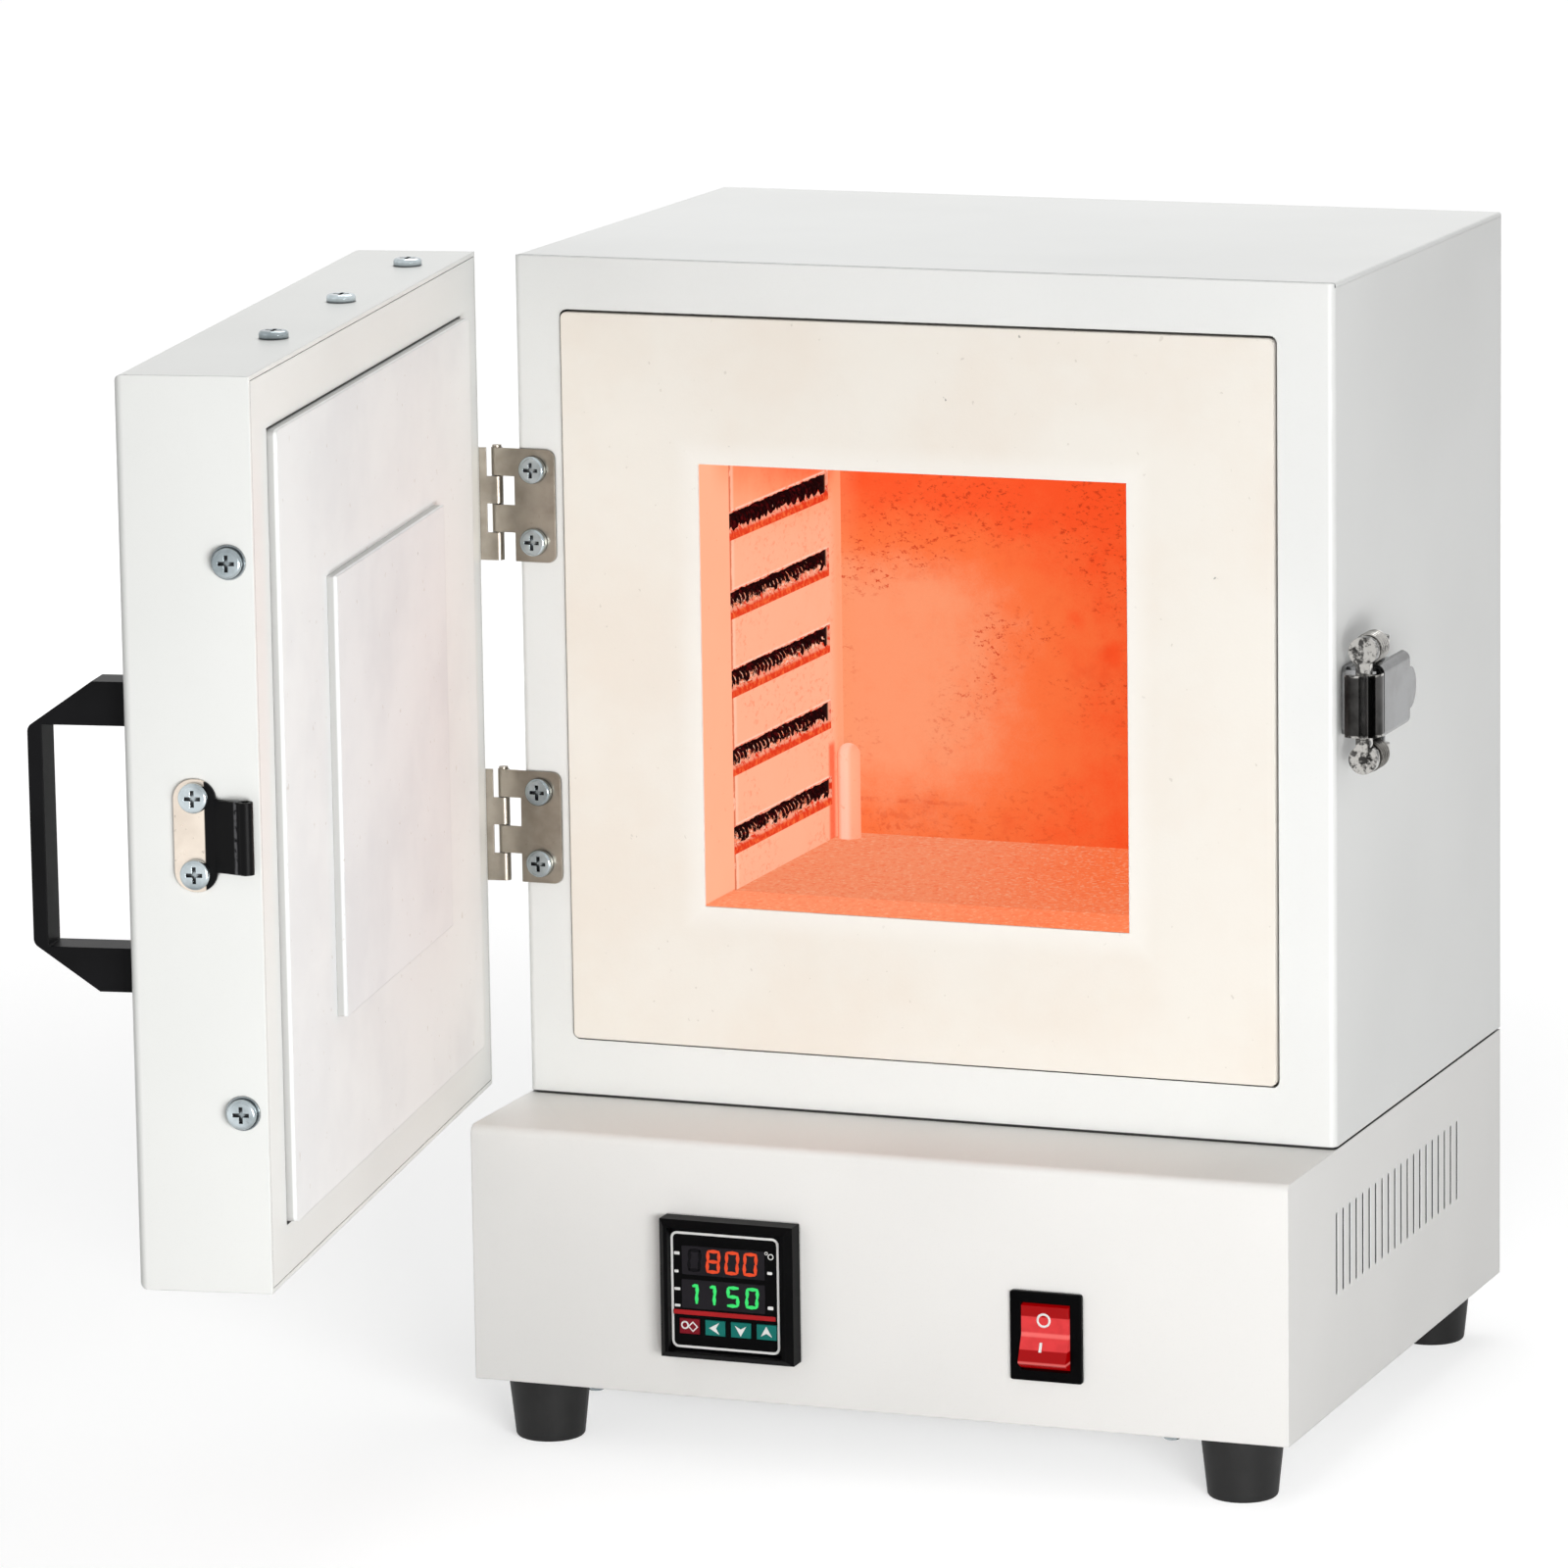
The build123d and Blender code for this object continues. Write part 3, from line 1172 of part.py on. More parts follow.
def make_latch():
    """The draw latch: base, lever, trunnion, claw with two arms, and the arms' springs."""
    half = latch_plate_tall / 2
    tall = lever_tall / 2
    wall_inner = tall - lever_wall
    ear_outer = wall_inner - lever_side_gap
    ear_inner = ear_outer - latch_ear_thickness
    pin_far = latch_point(lever_pivot_back, lever_pivot_out, -2 * tall)
    pin_near = latch_point(lever_pivot_back, lever_pivot_out, 2 * tall)
    plate_end = latch_plate_start + latch_plate_length
    base = latch_block(latch_plate_start, plate_end, 0, sheet, -half, half)
    base = fillet(base.edges().filter_by(Axis.X), latch_plate_corner)
    for sign in (-1, 1):
        up0, up1 = sorted((sign * ear_inner, sign * ear_outer))
        base += latch_block(lever_pivot_back - latch_ear_front, lever_pivot_back + latch_ear_radius,
                            0, lever_pivot_out, up0, up1)
        base += rod(latch_ear_radius, latch_point(lever_pivot_back, lever_pivot_out, up0),
                    latch_point(lever_pivot_back, lever_pivot_out, up1))
    base -= rod(lever_pin_radius + running_gap, pin_far, pin_near)
    screws = []
    for y in latch_screw_places():
        base -= rod(small_screw_radius + screw_clearance, (side - 1, y, latch_z),
                    (side + sheet + 1, y, latch_z))
        screws.append(small_screw((side + sheet, y, latch_z), (1, 0, 0)))
    pivot = rod(lever_pin_radius, latch_point(lever_pivot_back, lever_pivot_out, -tall),
                latch_point(lever_pivot_back, lever_pivot_out, tall))

    lever = latch_block(lever_start, lever_end, lever_pivot_out, lever_top_out, -tall, tall)
    outer_edges = lever.edges().filter_by(Axis.Y).group_by(Axis.X)[-1]
    lever = fillet(outer_edges, lever_bend)
    hollow = latch_block(lever_start - 1, lever_end + 1, lever_pivot_out - 1,
                         lever_top_out - lever_wall, -wall_inner, wall_inner)
    inner_edges = hollow.edges().filter_by(Axis.Y).group_by(Axis.X)[-1]
    lever -= fillet(inner_edges, lever_bend - lever_wall)
    flange_back = trunnion_back + 2 * trunnion_radius
    lever -= latch_block(flange_back, lever_end + 1, lever_pivot_out - 1,
                         lever_top_out - lever_bend, -tall - 1, tall + 1)
    lever += rod(lever_tip_radius, latch_point(lever_end, lever_top_out - lever_wall, 0),
                 latch_point(lever_end, lever_top_out, 0))
    for sign in (-1, 1):
        lever += rod(lever_pivot_back - lever_start,
                     latch_point(lever_pivot_back, lever_pivot_out, sign * wall_inner),
                     latch_point(lever_pivot_back, lever_pivot_out, sign * tall))
    lever -= rod(lever_pin_radius + running_gap, pin_far, pin_near)
    trunnion_end = arm_offset + arm_eye_width / 2 + trunnion_spare
    trunnion = rod(trunnion_radius, latch_point(trunnion_back, trunnion_out, -trunnion_end),
                   latch_point(trunnion_back, trunnion_out, trunnion_end))
    lever -= rod(trunnion_radius + running_gap,
                 latch_point(trunnion_back, trunnion_out, -2 * tall),
                 latch_point(trunnion_back, trunnion_out, 2 * tall))

    claw_half = claw_tall / 2
    hook_plane = Plane(origin=latch_point(0, 0, -claw_half), x_dir=(0, 1, 0), z_dir=(0, 0, -1))
    nose_out = (claw_top_out + claw_foot_out) / 2
    claw_foot = claw_front + claw_foot_back
    outer = ThreePointArc((claw_back, claw_top_out), (claw_front, nose_out),
                          (claw_foot, claw_foot_out))
    inner = ThreePointArc((claw_foot + claw_wall, claw_foot_out),
                          (claw_front + claw_wall, nose_out - claw_nose_thinning),
                          (claw_back, claw_top_out - claw_wall))
    hook = make_face([outer, Line(outer @ 1, inner @ 0), inner, Line(inner @ 1, outer @ 0)])
    claw = extrude(hook_plane * hook, amount=-claw_tall)
    claw_bar_back = claw_bar_start + claw_bar_thickness
    bar_low = trunnion_out - claw_bar_deep / 2
    bar_high = trunnion_out + claw_bar_deep / 2
    claw += latch_block(claw_bar_start, claw_bar_back, bar_low, bar_high, -arm_offset, arm_offset)
    claw += latch_block(claw_front + claw_wall / 2, claw_bar_start + 1, bar_low, bar_high,
                        -claw_half, claw_half)
    springs = []
    eye_half = arm_eye_width / 2
    for sign in (-1, 1):
        up = sign * arm_offset
        claw += rod(spring_seat_radius, latch_point(claw_bar_start, trunnion_out, up),
                    latch_point(claw_bar_back, trunnion_out, up))
        claw += rod(arm_radius, latch_point(claw_bar_back - 1, trunnion_out, up),
                    latch_point(trunnion_back - arm_eye_radius + arm_lap, trunnion_out, up))
        claw += rod(arm_eye_radius, latch_point(trunnion_back, trunnion_out, up - eye_half),
                    latch_point(trunnion_back, trunnion_out, up + eye_half))
        claw -= rod(trunnion_radius + running_gap,
                    latch_point(trunnion_back, trunnion_out, up - arm_eye_width),
                    latch_point(trunnion_back, trunnion_out, up + arm_eye_width))
        springs.append(coil_tube(
            side + trunnion_out, latch_z + up, body_front + claw_bar_back,
            body_front + trunnion_back - arm_eye_radius - slip, latch_coil_radius,
            latch_coil_wire_radius, latch_coil_turns, latch_coil_tail, "latch_springs",
        ))
    return {
        "latch_base": group([base, pivot]),
        "latch_screws": group(screws),
        "latch_lever": lever,
        "latch_trunnion": trunnion,
        "latch_claw": claw,
        "latch_springs": group(springs),
    }


parts = {
    **make_control_box(),
    **make_controller(),
    **make_switch(),
    **make_electrics(),
    **make_shell(),
    **make_lining(),
    **make_heating(),
    **make_hinges(),
    **make_door(),
    **make_handle(),
    **make_keeper(),
    **make_latch(),
}

os.makedirs("parts", exist_ok=True)
for name, shape in parts.items():
    export_step(shape, f"parts/{name}.step")
print(len(parts), "nodes written")
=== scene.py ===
import bpy
import math
import random
from mathutils import Matrix, Vector


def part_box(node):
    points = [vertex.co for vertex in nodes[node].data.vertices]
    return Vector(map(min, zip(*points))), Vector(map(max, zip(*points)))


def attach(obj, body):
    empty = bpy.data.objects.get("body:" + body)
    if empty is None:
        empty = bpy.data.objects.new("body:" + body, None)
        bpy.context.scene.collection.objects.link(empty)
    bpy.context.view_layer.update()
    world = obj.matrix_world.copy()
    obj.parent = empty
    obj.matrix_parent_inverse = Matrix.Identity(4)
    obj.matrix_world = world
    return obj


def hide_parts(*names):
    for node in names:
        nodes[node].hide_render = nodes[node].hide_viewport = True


# A burnout furnace on its control box, with the door swung open and the chamber glowing.
# Sizes are in metres, in the same places as the solid model's own.

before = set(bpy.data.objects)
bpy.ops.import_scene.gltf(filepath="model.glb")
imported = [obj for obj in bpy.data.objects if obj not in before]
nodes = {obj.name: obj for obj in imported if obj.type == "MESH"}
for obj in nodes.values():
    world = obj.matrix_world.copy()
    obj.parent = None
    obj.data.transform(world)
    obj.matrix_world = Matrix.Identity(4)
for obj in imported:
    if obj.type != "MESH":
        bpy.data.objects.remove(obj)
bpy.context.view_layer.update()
print("frame loaded with", len(nodes), "nodes")


# Reading and mixing inside a shader.

def tone(red, green, blue):
    # a colour as a screen shows it, 0 to 255, turned into what a shader mixes
    def straight(part):
        part = part / 255
        return part / 12.92 if part <= 0.04045 else ((part + 0.055) / 1.055) ** 2.4
    return (straight(red), straight(green), straight(blue), 1.0)


def addNode(tree, kind, settings=None, sockets=None, output=0):
    # settings are set first, then each socket gets its number, its colour or a link
    made = tree.nodes.new(kind)
    for key, value in (settings or {}).items():
        setattr(made, key, value)
    for key, value in (sockets or {}).items():
        if isinstance(value, Reading):
            tree.links.new(value.socket, made.inputs[key])
        else:
            made.inputs[key].default_value = value
    return Reading(tree, made.outputs[output])


class Reading:
    # one number, colour or direction on its way through a shader

    def __init__(self, tree, socket):
        self.tree = tree
        self.socket = socket

    def worked(self, operation, first, second):
        return addNode(self.tree, "ShaderNodeMath", {"operation": operation}, {0: first, 1: second})

    def __add__(self, other):
        return self.worked("ADD", self, other)

    def __radd__(self, other):
        return self.worked("ADD", other, self)

    def __sub__(self, other):
        return self.worked("SUBTRACT", self, other)

    def __rsub__(self, other):
        return self.worked("SUBTRACT", other, self)

    def __mul__(self, other):
        return self.worked("MULTIPLY", self, other)

    def largest(self, other):
        return self.worked("MAXIMUM", self, other)

    def apart(self, middle):
        # how far a place lies from a middle value, either way
        return addNode(self.tree, "ShaderNodeMath", {"operation": "ABSOLUTE"}, {0: self - middle})

    def wrapped(self, length):
        return self.worked("MODULO", self, length)

    def rise(self, low, high):
        # 0 below low, 1 above high, and a soft slope between
        return addNode(
            self.tree, "ShaderNodeMapRange", {"interpolation_type": "SMOOTHSTEP"},
            {0: self, 1: low, 2: high, 3: 0.0, 4: 1.0},
        )

    def fall(self, low, high):
        return 1 - self.rise(low, high)

    def band(self, low, full, fade, high):
        # 1 between full and fade, with a soft slope to 0 at low and at high
        return self.rise(low, full) * self.fall(fade, high)


def emptied(owner):
    # the node tree of a material or world, with nothing in it
    owner.use_nodes = True
    owner.node_tree.nodes.clear()
    return owner.node_tree


finishes = {}


class Finish:
    # one material: where it reads from, its patterns, and the surface that they feed

    def __init__(self, name, constants):
        self.name = name
        self.material = bpy.data.materials.new(name)
        self.tree = emptied(self.material)
        self.place = self.node("ShaderNodeTexCoord", output="Object")
        self.surface = self.tree.nodes.new("ShaderNodeBsdfPrincipled")
        out = self.tree.nodes.new("ShaderNodeOutputMaterial")
        self.tree.links.new(self.surface.outputs[0], out.inputs[0])
        for socket, value in constants.items():
            self.surface.inputs[socket].default_value = value

    def node(self, kind, settings=None, sockets=None, output=0):
        return addNode(self.tree, kind, settings, sockets, output)

    def along(self, axis):
        return self.node("ShaderNodeSeparateXYZ", None, {0: self.place}, "xyz".index(axis))

    def axes(self):
        return [self.along(axis) for axis in "xyz"]

    def placed(self, scale, turn=(0, 0, 0)):
        return self.node(
            "ShaderNodeMapping", None, {"Vector": self.place, "Rotation": turn, "Scale": scale}
        )

    def cloud(self, scale, detail=3.0, roughness=0.55, place=None):
        return self.node(
            "ShaderNodeTexNoise", None,
            {"Vector": place or self.place, "Scale": scale, "Detail": detail, "Roughness": roughness},
        )

    def grains(self, scale, randomness):
        return self.node(
            "ShaderNodeTexVoronoi", None,
            {"Vector": self.place, "Scale": scale, "Randomness": randomness},
        )

    def mix(self, mask, first, second):
        return self.node(
            "ShaderNodeMix", {"data_type": "RGBA"}, {0: mask, 6: first, 7: second}, 2
        )

    def over(self, base, *layers):
        # each layer is a mask and the colour that it lays over what is below
        for mask, colour in layers:
            base = self.mix(mask, base, colour)
        return base

    def softEdge(self, radius):
        return self.node("ShaderNodeBevel", {"samples": 6}, {"Radius": radius})

    def nookShade(self, distance):
        # 1 in tight corners and recesses, 0 in the open: a mask for painting the shade that falls there
        return 1 - self.node("ShaderNodeAmbientOcclusion", {"samples": 12}, {"Distance": distance}, 1)

    def bump(self, height, strength, distance, normal=None):
        sockets = {"Height": height, "Strength": strength, "Distance": distance}
        if normal:
            sockets["Normal"] = normal
        return self.node("ShaderNodeBump", None, sockets)

    def feed(self, **links):
        # the finish is done: it goes into finishes under its own name
        names = {
            "colour": "Base Color", "roughness": "Roughness", "metal": "Metallic",
            "coat": "Coat Weight", "glow": "Emission Color", "normal": "Normal",
        }
        for key, value in links.items():
            if isinstance(value, Reading):
                self.tree.links.new(value.socket, self.surface.inputs[names[key]])
            else:
                self.surface.inputs[names[key]].default_value = value
        finishes[self.name] = self.material


# Painted sheet metal.

coatSettings = {
    "dust": tone(198, 194, 184),
    # painted shade, for the seams and crevices and for the shadow line under the body
    "seam": tone(14, 14, 15),
    "gap": (0.1111, 0.1112, 0.1117, 0.1120),  # the shadow line under the body, by height
    "peelScale": 1300.0,      # bumps of the powder coat, about three quarters of a millimetre
    "peelHeight": 0.00005,
    "foldRadius": 0.0006,
}

ventSettings = {
    "skin": 0.1460,           # half the width of the box, whose sides hold the vents
    "shade": 0.00014,         # the cut walls carry painted shade from this depth on
    "tall": (0.0600, 0.0601, 0.0906, 0.0907),
    "reach": (0.0722, 0.0724),
    "first": -0.0703,
    "pitch": 0.0074,
    # the painted highlight's place beside each slot, then the colours of the painted shade on the cut
    # walls and of the painted highlight
    "lip": (0.0009, 0.0010, 0.0016, 0.0021),
    "dark": tone(10, 10, 11),
    "lessDarkShade": tone(62, 62, 64),
    "highlight": tone(250, 250, 249),
}


def ventedPaint(coat, paint):
    # painted shade darkens the cut walls of the vents, and a painted highlight makes one bright lip
    # beside each slot
    settings = ventSettings
    x, y, z = coat.axes()
    skin = settings["skin"] - settings["shade"]
    deep = x.apart(0.0).fall(skin - 0.0001, skin)
    slots = z.band(*settings["tall"]) * y.apart(0.0).fall(*settings["reach"])
    cutWallShade = coat.mix(coat.cloud(90.0, 1.0).rise(0.35, 0.65), settings["dark"], settings["lessDarkShade"])
    half = settings["pitch"] / 2
    fromSlot = (y - settings["first"] + half).wrapped(settings["pitch"]) - half
    lip = fromSlot.band(*settings["lip"]) * slots * (1 - deep) * 0.8
    return coat.over(paint, (deep * slots, cutWallShade), (lip, settings["highlight"]))


def powderCoat(name, fresh, aged, vented=False):
    coat = Finish(name, {"Specular IOR Level": 0.42, "Coat Roughness": 0.22})
    broad = coat.cloud(7.0, 2.0)
    speckle = coat.cloud(2600.0, 1.0).rise(0.66, 0.74)
    grime = coat.cloud(60.0, 5.0, 0.7).rise(0.55, 0.85) * coat.cloud(11.0, 2.0).rise(0.5, 0.75)
    # painted shade: corners, creases and the seams between panels are darkened where occlusion finds them
    seams = coat.nookShade(0.0018).rise(0.30, 0.62)
    gap = coat.along("z").band(*coatSettings["gap"])
    paint = coat.over(
        fresh,
        (broad.rise(0.35, 0.7), aged),
        (speckle * 0.10 + grime * 0.10, coatSettings["dust"]),
        ((seams * 0.9).largest(gap * 0.85), coatSettings["seam"]),
    )
    if vented:
        paint = ventedPaint(coat, paint)
    peel = coat.cloud(coatSettings["peelScale"], 2.0, 0.5)
    fold = coat.softEdge(coatSettings["foldRadius"])
    coat.feed(
        colour=paint,
        roughness=0.36 + broad * 0.08 + grime * 0.15,
        coat=0.10 + coat.cloud(24.0, 2.0) * 0.10,
        normal=coat.bump(peel, 0.30, coatSettings["peelHeight"], fold),
    )


# Refractory board, firebrick and the glow on them.

boardSettings = {
    "warm": tone(240, 229, 214),
    "grey": tone(150, 146, 140),
    # painted shade on the narrow sides of the door's boards
    "side": tone(196, 196, 194),
    "sideShadeStart": 0.0016,      # how far behind the face of a door's board the painted shade on its narrow sides is full
    "sideShadeEnd": 0.0009,
    "doorOpen": 80.5,         # degrees, as the door stands in this frame
}

chamber = {
    "left": -0.079, "right": 0.074, "floor": 0.181, "ceiling": 0.334,
    "front": -0.0725, "joint": -0.0445, "slotRear": 0.0510,
    "slots": 5, "slotFirst": 0.1985, "slotPitch": 0.0274, "slotTall": 0.0085, "slotDeep": 0.009,
}
middleX = (chamber["left"] + chamber["right"]) / 2
halfAcross = (chamber["right"] - chamber["left"]) / 2
slotBottoms = [
    chamber["slotFirst"] + i * chamber["slotPitch"] - chamber["slotTall"] / 2
    for i in range(chamber["slots"])
]

glowTones = {
    "pale": tone(254, 190, 156),
    "peach": tone(253, 163, 119),
    "orange": tone(254, 118, 62),
    "red": tone(254, 82, 34),
    "ember": tone(222, 56, 24),
    "shadeMaroon": tone(62, 6, 8),
    "shadeBlack": tone(26, 3, 5),
    "soot": tone(196, 84, 38),
    "rust": tone(238, 94, 46),
    "highlight": tone(255, 232, 212),
    "none": (0, 0, 0, 1),
    "strength": 0.78,         # the rest of the brightness is light that the walls throw at each other
}

# Where the glow changes: a pair or four numbers are soft steps along an axis or over a distance.
mouthSteps = {"hotTop": (0.318, 0.336), "hotRear": (-0.064, -0.044)}
floorSteps = {"hotRight": (-0.055, 0.055), "hotRear": (-0.06, 0.05)}
backSteps = {
    "redRight": (-0.055, 0.030), "redTop": (0.262, 0.310), "redFoot": (0.034, 0.068), "coolHeight": 0.150,
    "dabsRight": (-0.03, 0.01), "dabsTop": (0.225, 0.26),
    "ledgeHeight": 0.1935, "ledgeThick": (0.0003, 0.0012), "ledgeEnd": (-0.050, -0.022),
    "rubbleTop": (0.184, 0.196), "rubbleEnd": (-0.060, -0.035),
    "speckled": (0.215, 0.25, 0.305, 0.325),
    "shadedCornerEnd": (-0.0790, -0.0700), "shadedCornerTop": (0.19, 0.22),
}
wallSteps = {
    "redTop": (0.288, 0.336), "redRear": (-0.05, 0.062), "stainedRear": (0.0, 0.05),
    "behindSlots": (0.0500, 0.0600), "rimHighlight": (-0.0002, 0.0001, 0.0008, 0.0018),
    "jointHighlight": (0.0030, 0.0052), "jointCrack": (0.0010, 0.0022),
    "probeShadow": (0.0470, 0.0500, 0.0525, 0.0560), "probeTop": (0.214, 0.217),
    "shadedCavity": (0.0003, 0.0016), "slotEdge": (0.0007, 0.0010), "slotEnd": (0.0001, 0.0003),
    "lipFace": (0.00095, 0.0011), "lipFoot": (0.0002, 0.0005), "lipPink": (0.0011, 0.0022),
}


def past(place, steps):
    # steps that are counted from a place
    return [place + step for step in steps]


def sandyFloor(finish, x, y):
    # glowing grit, redder towards the right and the rear
    fine = finish.cloud(1500.0, 3.0, 0.6)
    rearward = y.rise(*floorSteps["hotRear"])
    heat = 0.04 + x.rise(*floorSteps["hotRight"]) * (0.46 + rearward * 0.34) + (fine - 0.5) * 0.9
    crumbs = finish.cloud(430.0, 4.0, 0.7).rise(0.50, 0.62)
    grit = finish.cloud(620.0, 2.0, 0.5).rise(0.56, 0.66)
    return finish.over(
        tone(248, 152, 110),
        (heat.rise(0.0, 0.95), glowTones["orange"]),
        (crumbs * 0.45, glowTones["rust"]),
        (grit * 0.50, tone(255, 198, 160)),
    )


def doorBoardShadedSide(board, node):
    # 1 on the narrow sides of a raised board on the door, and 0 on its face: where the sides get painted
    # shade
    turn = math.radians(boardSettings["doorOpen"])
    ahead = (math.sin(turn), math.cos(turn))
    corners = nodes[node].data.vertices
    faceAt = max(corner.co.x * ahead[0] + corner.co.y * ahead[1] for corner in corners)
    depth = board.along("x") * ahead[0] + board.along("y") * ahead[1]
    return depth.fall(faceAt - boardSettings["sideShadeStart"], faceAt - boardSettings["sideShadeEnd"])


def glowingMouth(board, cast, nicks, pits):
    # the front board's colour and glow, where the chamber's mouth goes through it
    half = halfAcross + 0.0004
    x, y, z = board.axes()
    acrossX = x.apart(middleX)
    acrossZ = z.apart((chamber["floor"] + chamber["ceiling"]) / 2)
    deep = y.rise(*past(chamber["front"], (0.0004, 0.0012)))
    inside = acrossX.fall(half, half + 0.0003) * acrossZ.fall(half, half + 0.0003) * deep
    # painted light: the board is painted lighter within a centimetre of the mouth
    mouthHighlight = acrossX.largest(acrossZ).fall(half, half + 0.010) * 0.6
    hot = z.rise(*mouthSteps["hotTop"]) * y.rise(*mouthSteps["hotRear"])
    hot = hot * 0.55 + board.cloud(60.0, 3.0) * 0.10
    onSill = z.fall(*past(chamber["floor"], (0.0002, 0.0008)))
    heat = board.over(
        glowTones["pale"],
        (hot, glowTones["orange"]),
        (nicks + pits * 0.3, glowTones["soot"]),
        (onSill, sandyFloor(board, x, y)),
    )
    colour = board.over(cast, (mouthHighlight, tone(252, 249, 243)), (inside, tone(150, 92, 62)))
    return colour, board.mix(inside, glowTones["none"], heat)


def castBoard(name, light, dark, glowInside=False, doorNode=None):
    strength = glowTones["strength"] if glowInside else 0.0
    board = Finish(name, {"Specular IOR Level": 0.25, "Emission Strength": strength})
    broad = board.cloud(14.0, 4.0, 0.6)
    fine = board.cloud(900.0, 4.0, 0.65)
    pits = board.cloud(330.0, 2.0, 0.5).rise(0.715, 0.745)
    nicks = board.cloud(140.0, 3.0, 0.7).rise(0.735, 0.75) * board.cloud(26.0, 1.0).rise(0.5, 0.6)
    streaky = board.placed(scale=(1.0, 1.0, 3.5), turn=(0.0, 0.5, 0.0))
    scuffs = board.cloud(46.0, 5.0, 0.75, streaky).rise(0.66, 0.78)
    cast = board.over(
        light,
        (broad.rise(0.38, 0.68), dark),
        (scuffs * 0.18 + pits * 0.22, boardSettings["warm"]),
        ((nicks + pits * 0.25) * 0.75, boardSettings["grey"]),
    )
    if doorNode:
        # painted shade: the narrow sides are painted duller than the face
        cast = board.mix(doorBoardShadedSide(board, doorNode), cast, boardSettings["side"])
    height = fine * 0.5 + (1 - pits) * 0.7 + (1 - nicks) * 1.2
    normal = board.bump(height, 0.35, 0.00025, board.softEdge(0.0007))
    links = {"colour": cast, "roughness": 0.78 + fine * 0.12, "normal": normal}
    if glowInside:
        links["colour"], links["glow"] = glowingMouth(board, cast, nicks, pits)
    board.feed(**links)


def backHeat(brick, blotch, specks):
    # cool at the lower left and red towards the top and the right
    steps = backSteps
    x, z = brick.along("x"), brick.along("z")
    fine = brick.cloud(1500.0, 3.0, 0.6)
    sideways = 0.03 + x.rise(*steps["redRight"]) * 0.74
    upward = z.rise(*steps["redTop"])
    downward = z.apart(steps["coolHeight"]).rise(*steps["redFoot"])
    heat = 1 - (1 - sideways) * (1 - upward * 0.92) * (0.62 + downward * 0.38)
    # faint darker dabs in rows, where the brick behind was tamped
    dabs = brick.grains(62.0, 0.55).fall(0.10, 0.40) * x.rise(*steps["dabsRight"])
    dabs = dabs * z.rise(*steps["dabsTop"]) * brick.cloud(50.0, 2.0).rise(0.42, 0.6) * 0.24
    heat = heat + (blotch - 0.5) * 0.42 + (fine - 0.5) * 0.20 + dabs
    ledge = z.apart(steps["ledgeHeight"]).fall(*steps["ledgeThick"]) * x.fall(*steps["ledgeEnd"])
    ledge = ledge * brick.cloud(260.0, 3.0).rise(0.44, 0.60)
    rubble = z.fall(*steps["rubbleTop"]) * x.fall(*steps["rubbleEnd"])
    rubble = rubble * brick.cloud(300.0, 3.0).rise(0.5, 0.6)
    marks = (specks * (0.30 + z.band(*steps["speckled"]) * 0.60)).largest(ledge * 0.4)
    marks = marks.largest(rubble * 0.35)
    smoke = brick.cloud(38.0, 5.0, 0.7).rise(0.56, 0.72)
    # painted shade: a slightly darker, yellowish strip down the left corner
    corner = x.fall(*steps["shadedCornerEnd"]) * 0.30 * z.rise(*steps["shadedCornerTop"])
    glow = brick.over(
        glowTones["peach"],
        (heat.rise(0.0, 0.55), glowTones["orange"]),
        (heat.rise(0.5, 1.0), glowTones["red"]),
        (smoke * (1 - upward) * 0.22, glowTones["ember"]),
        (corner, tone(244, 160, 110)),
        (marks, tone(196, 50, 16)),
    )
    return glow, tone(120, 56, 32)


def floorHeat(brick, *patterns):
    return sandyFloor(brick, brick.along("x"), brick.along("y")), tone(120, 62, 40)


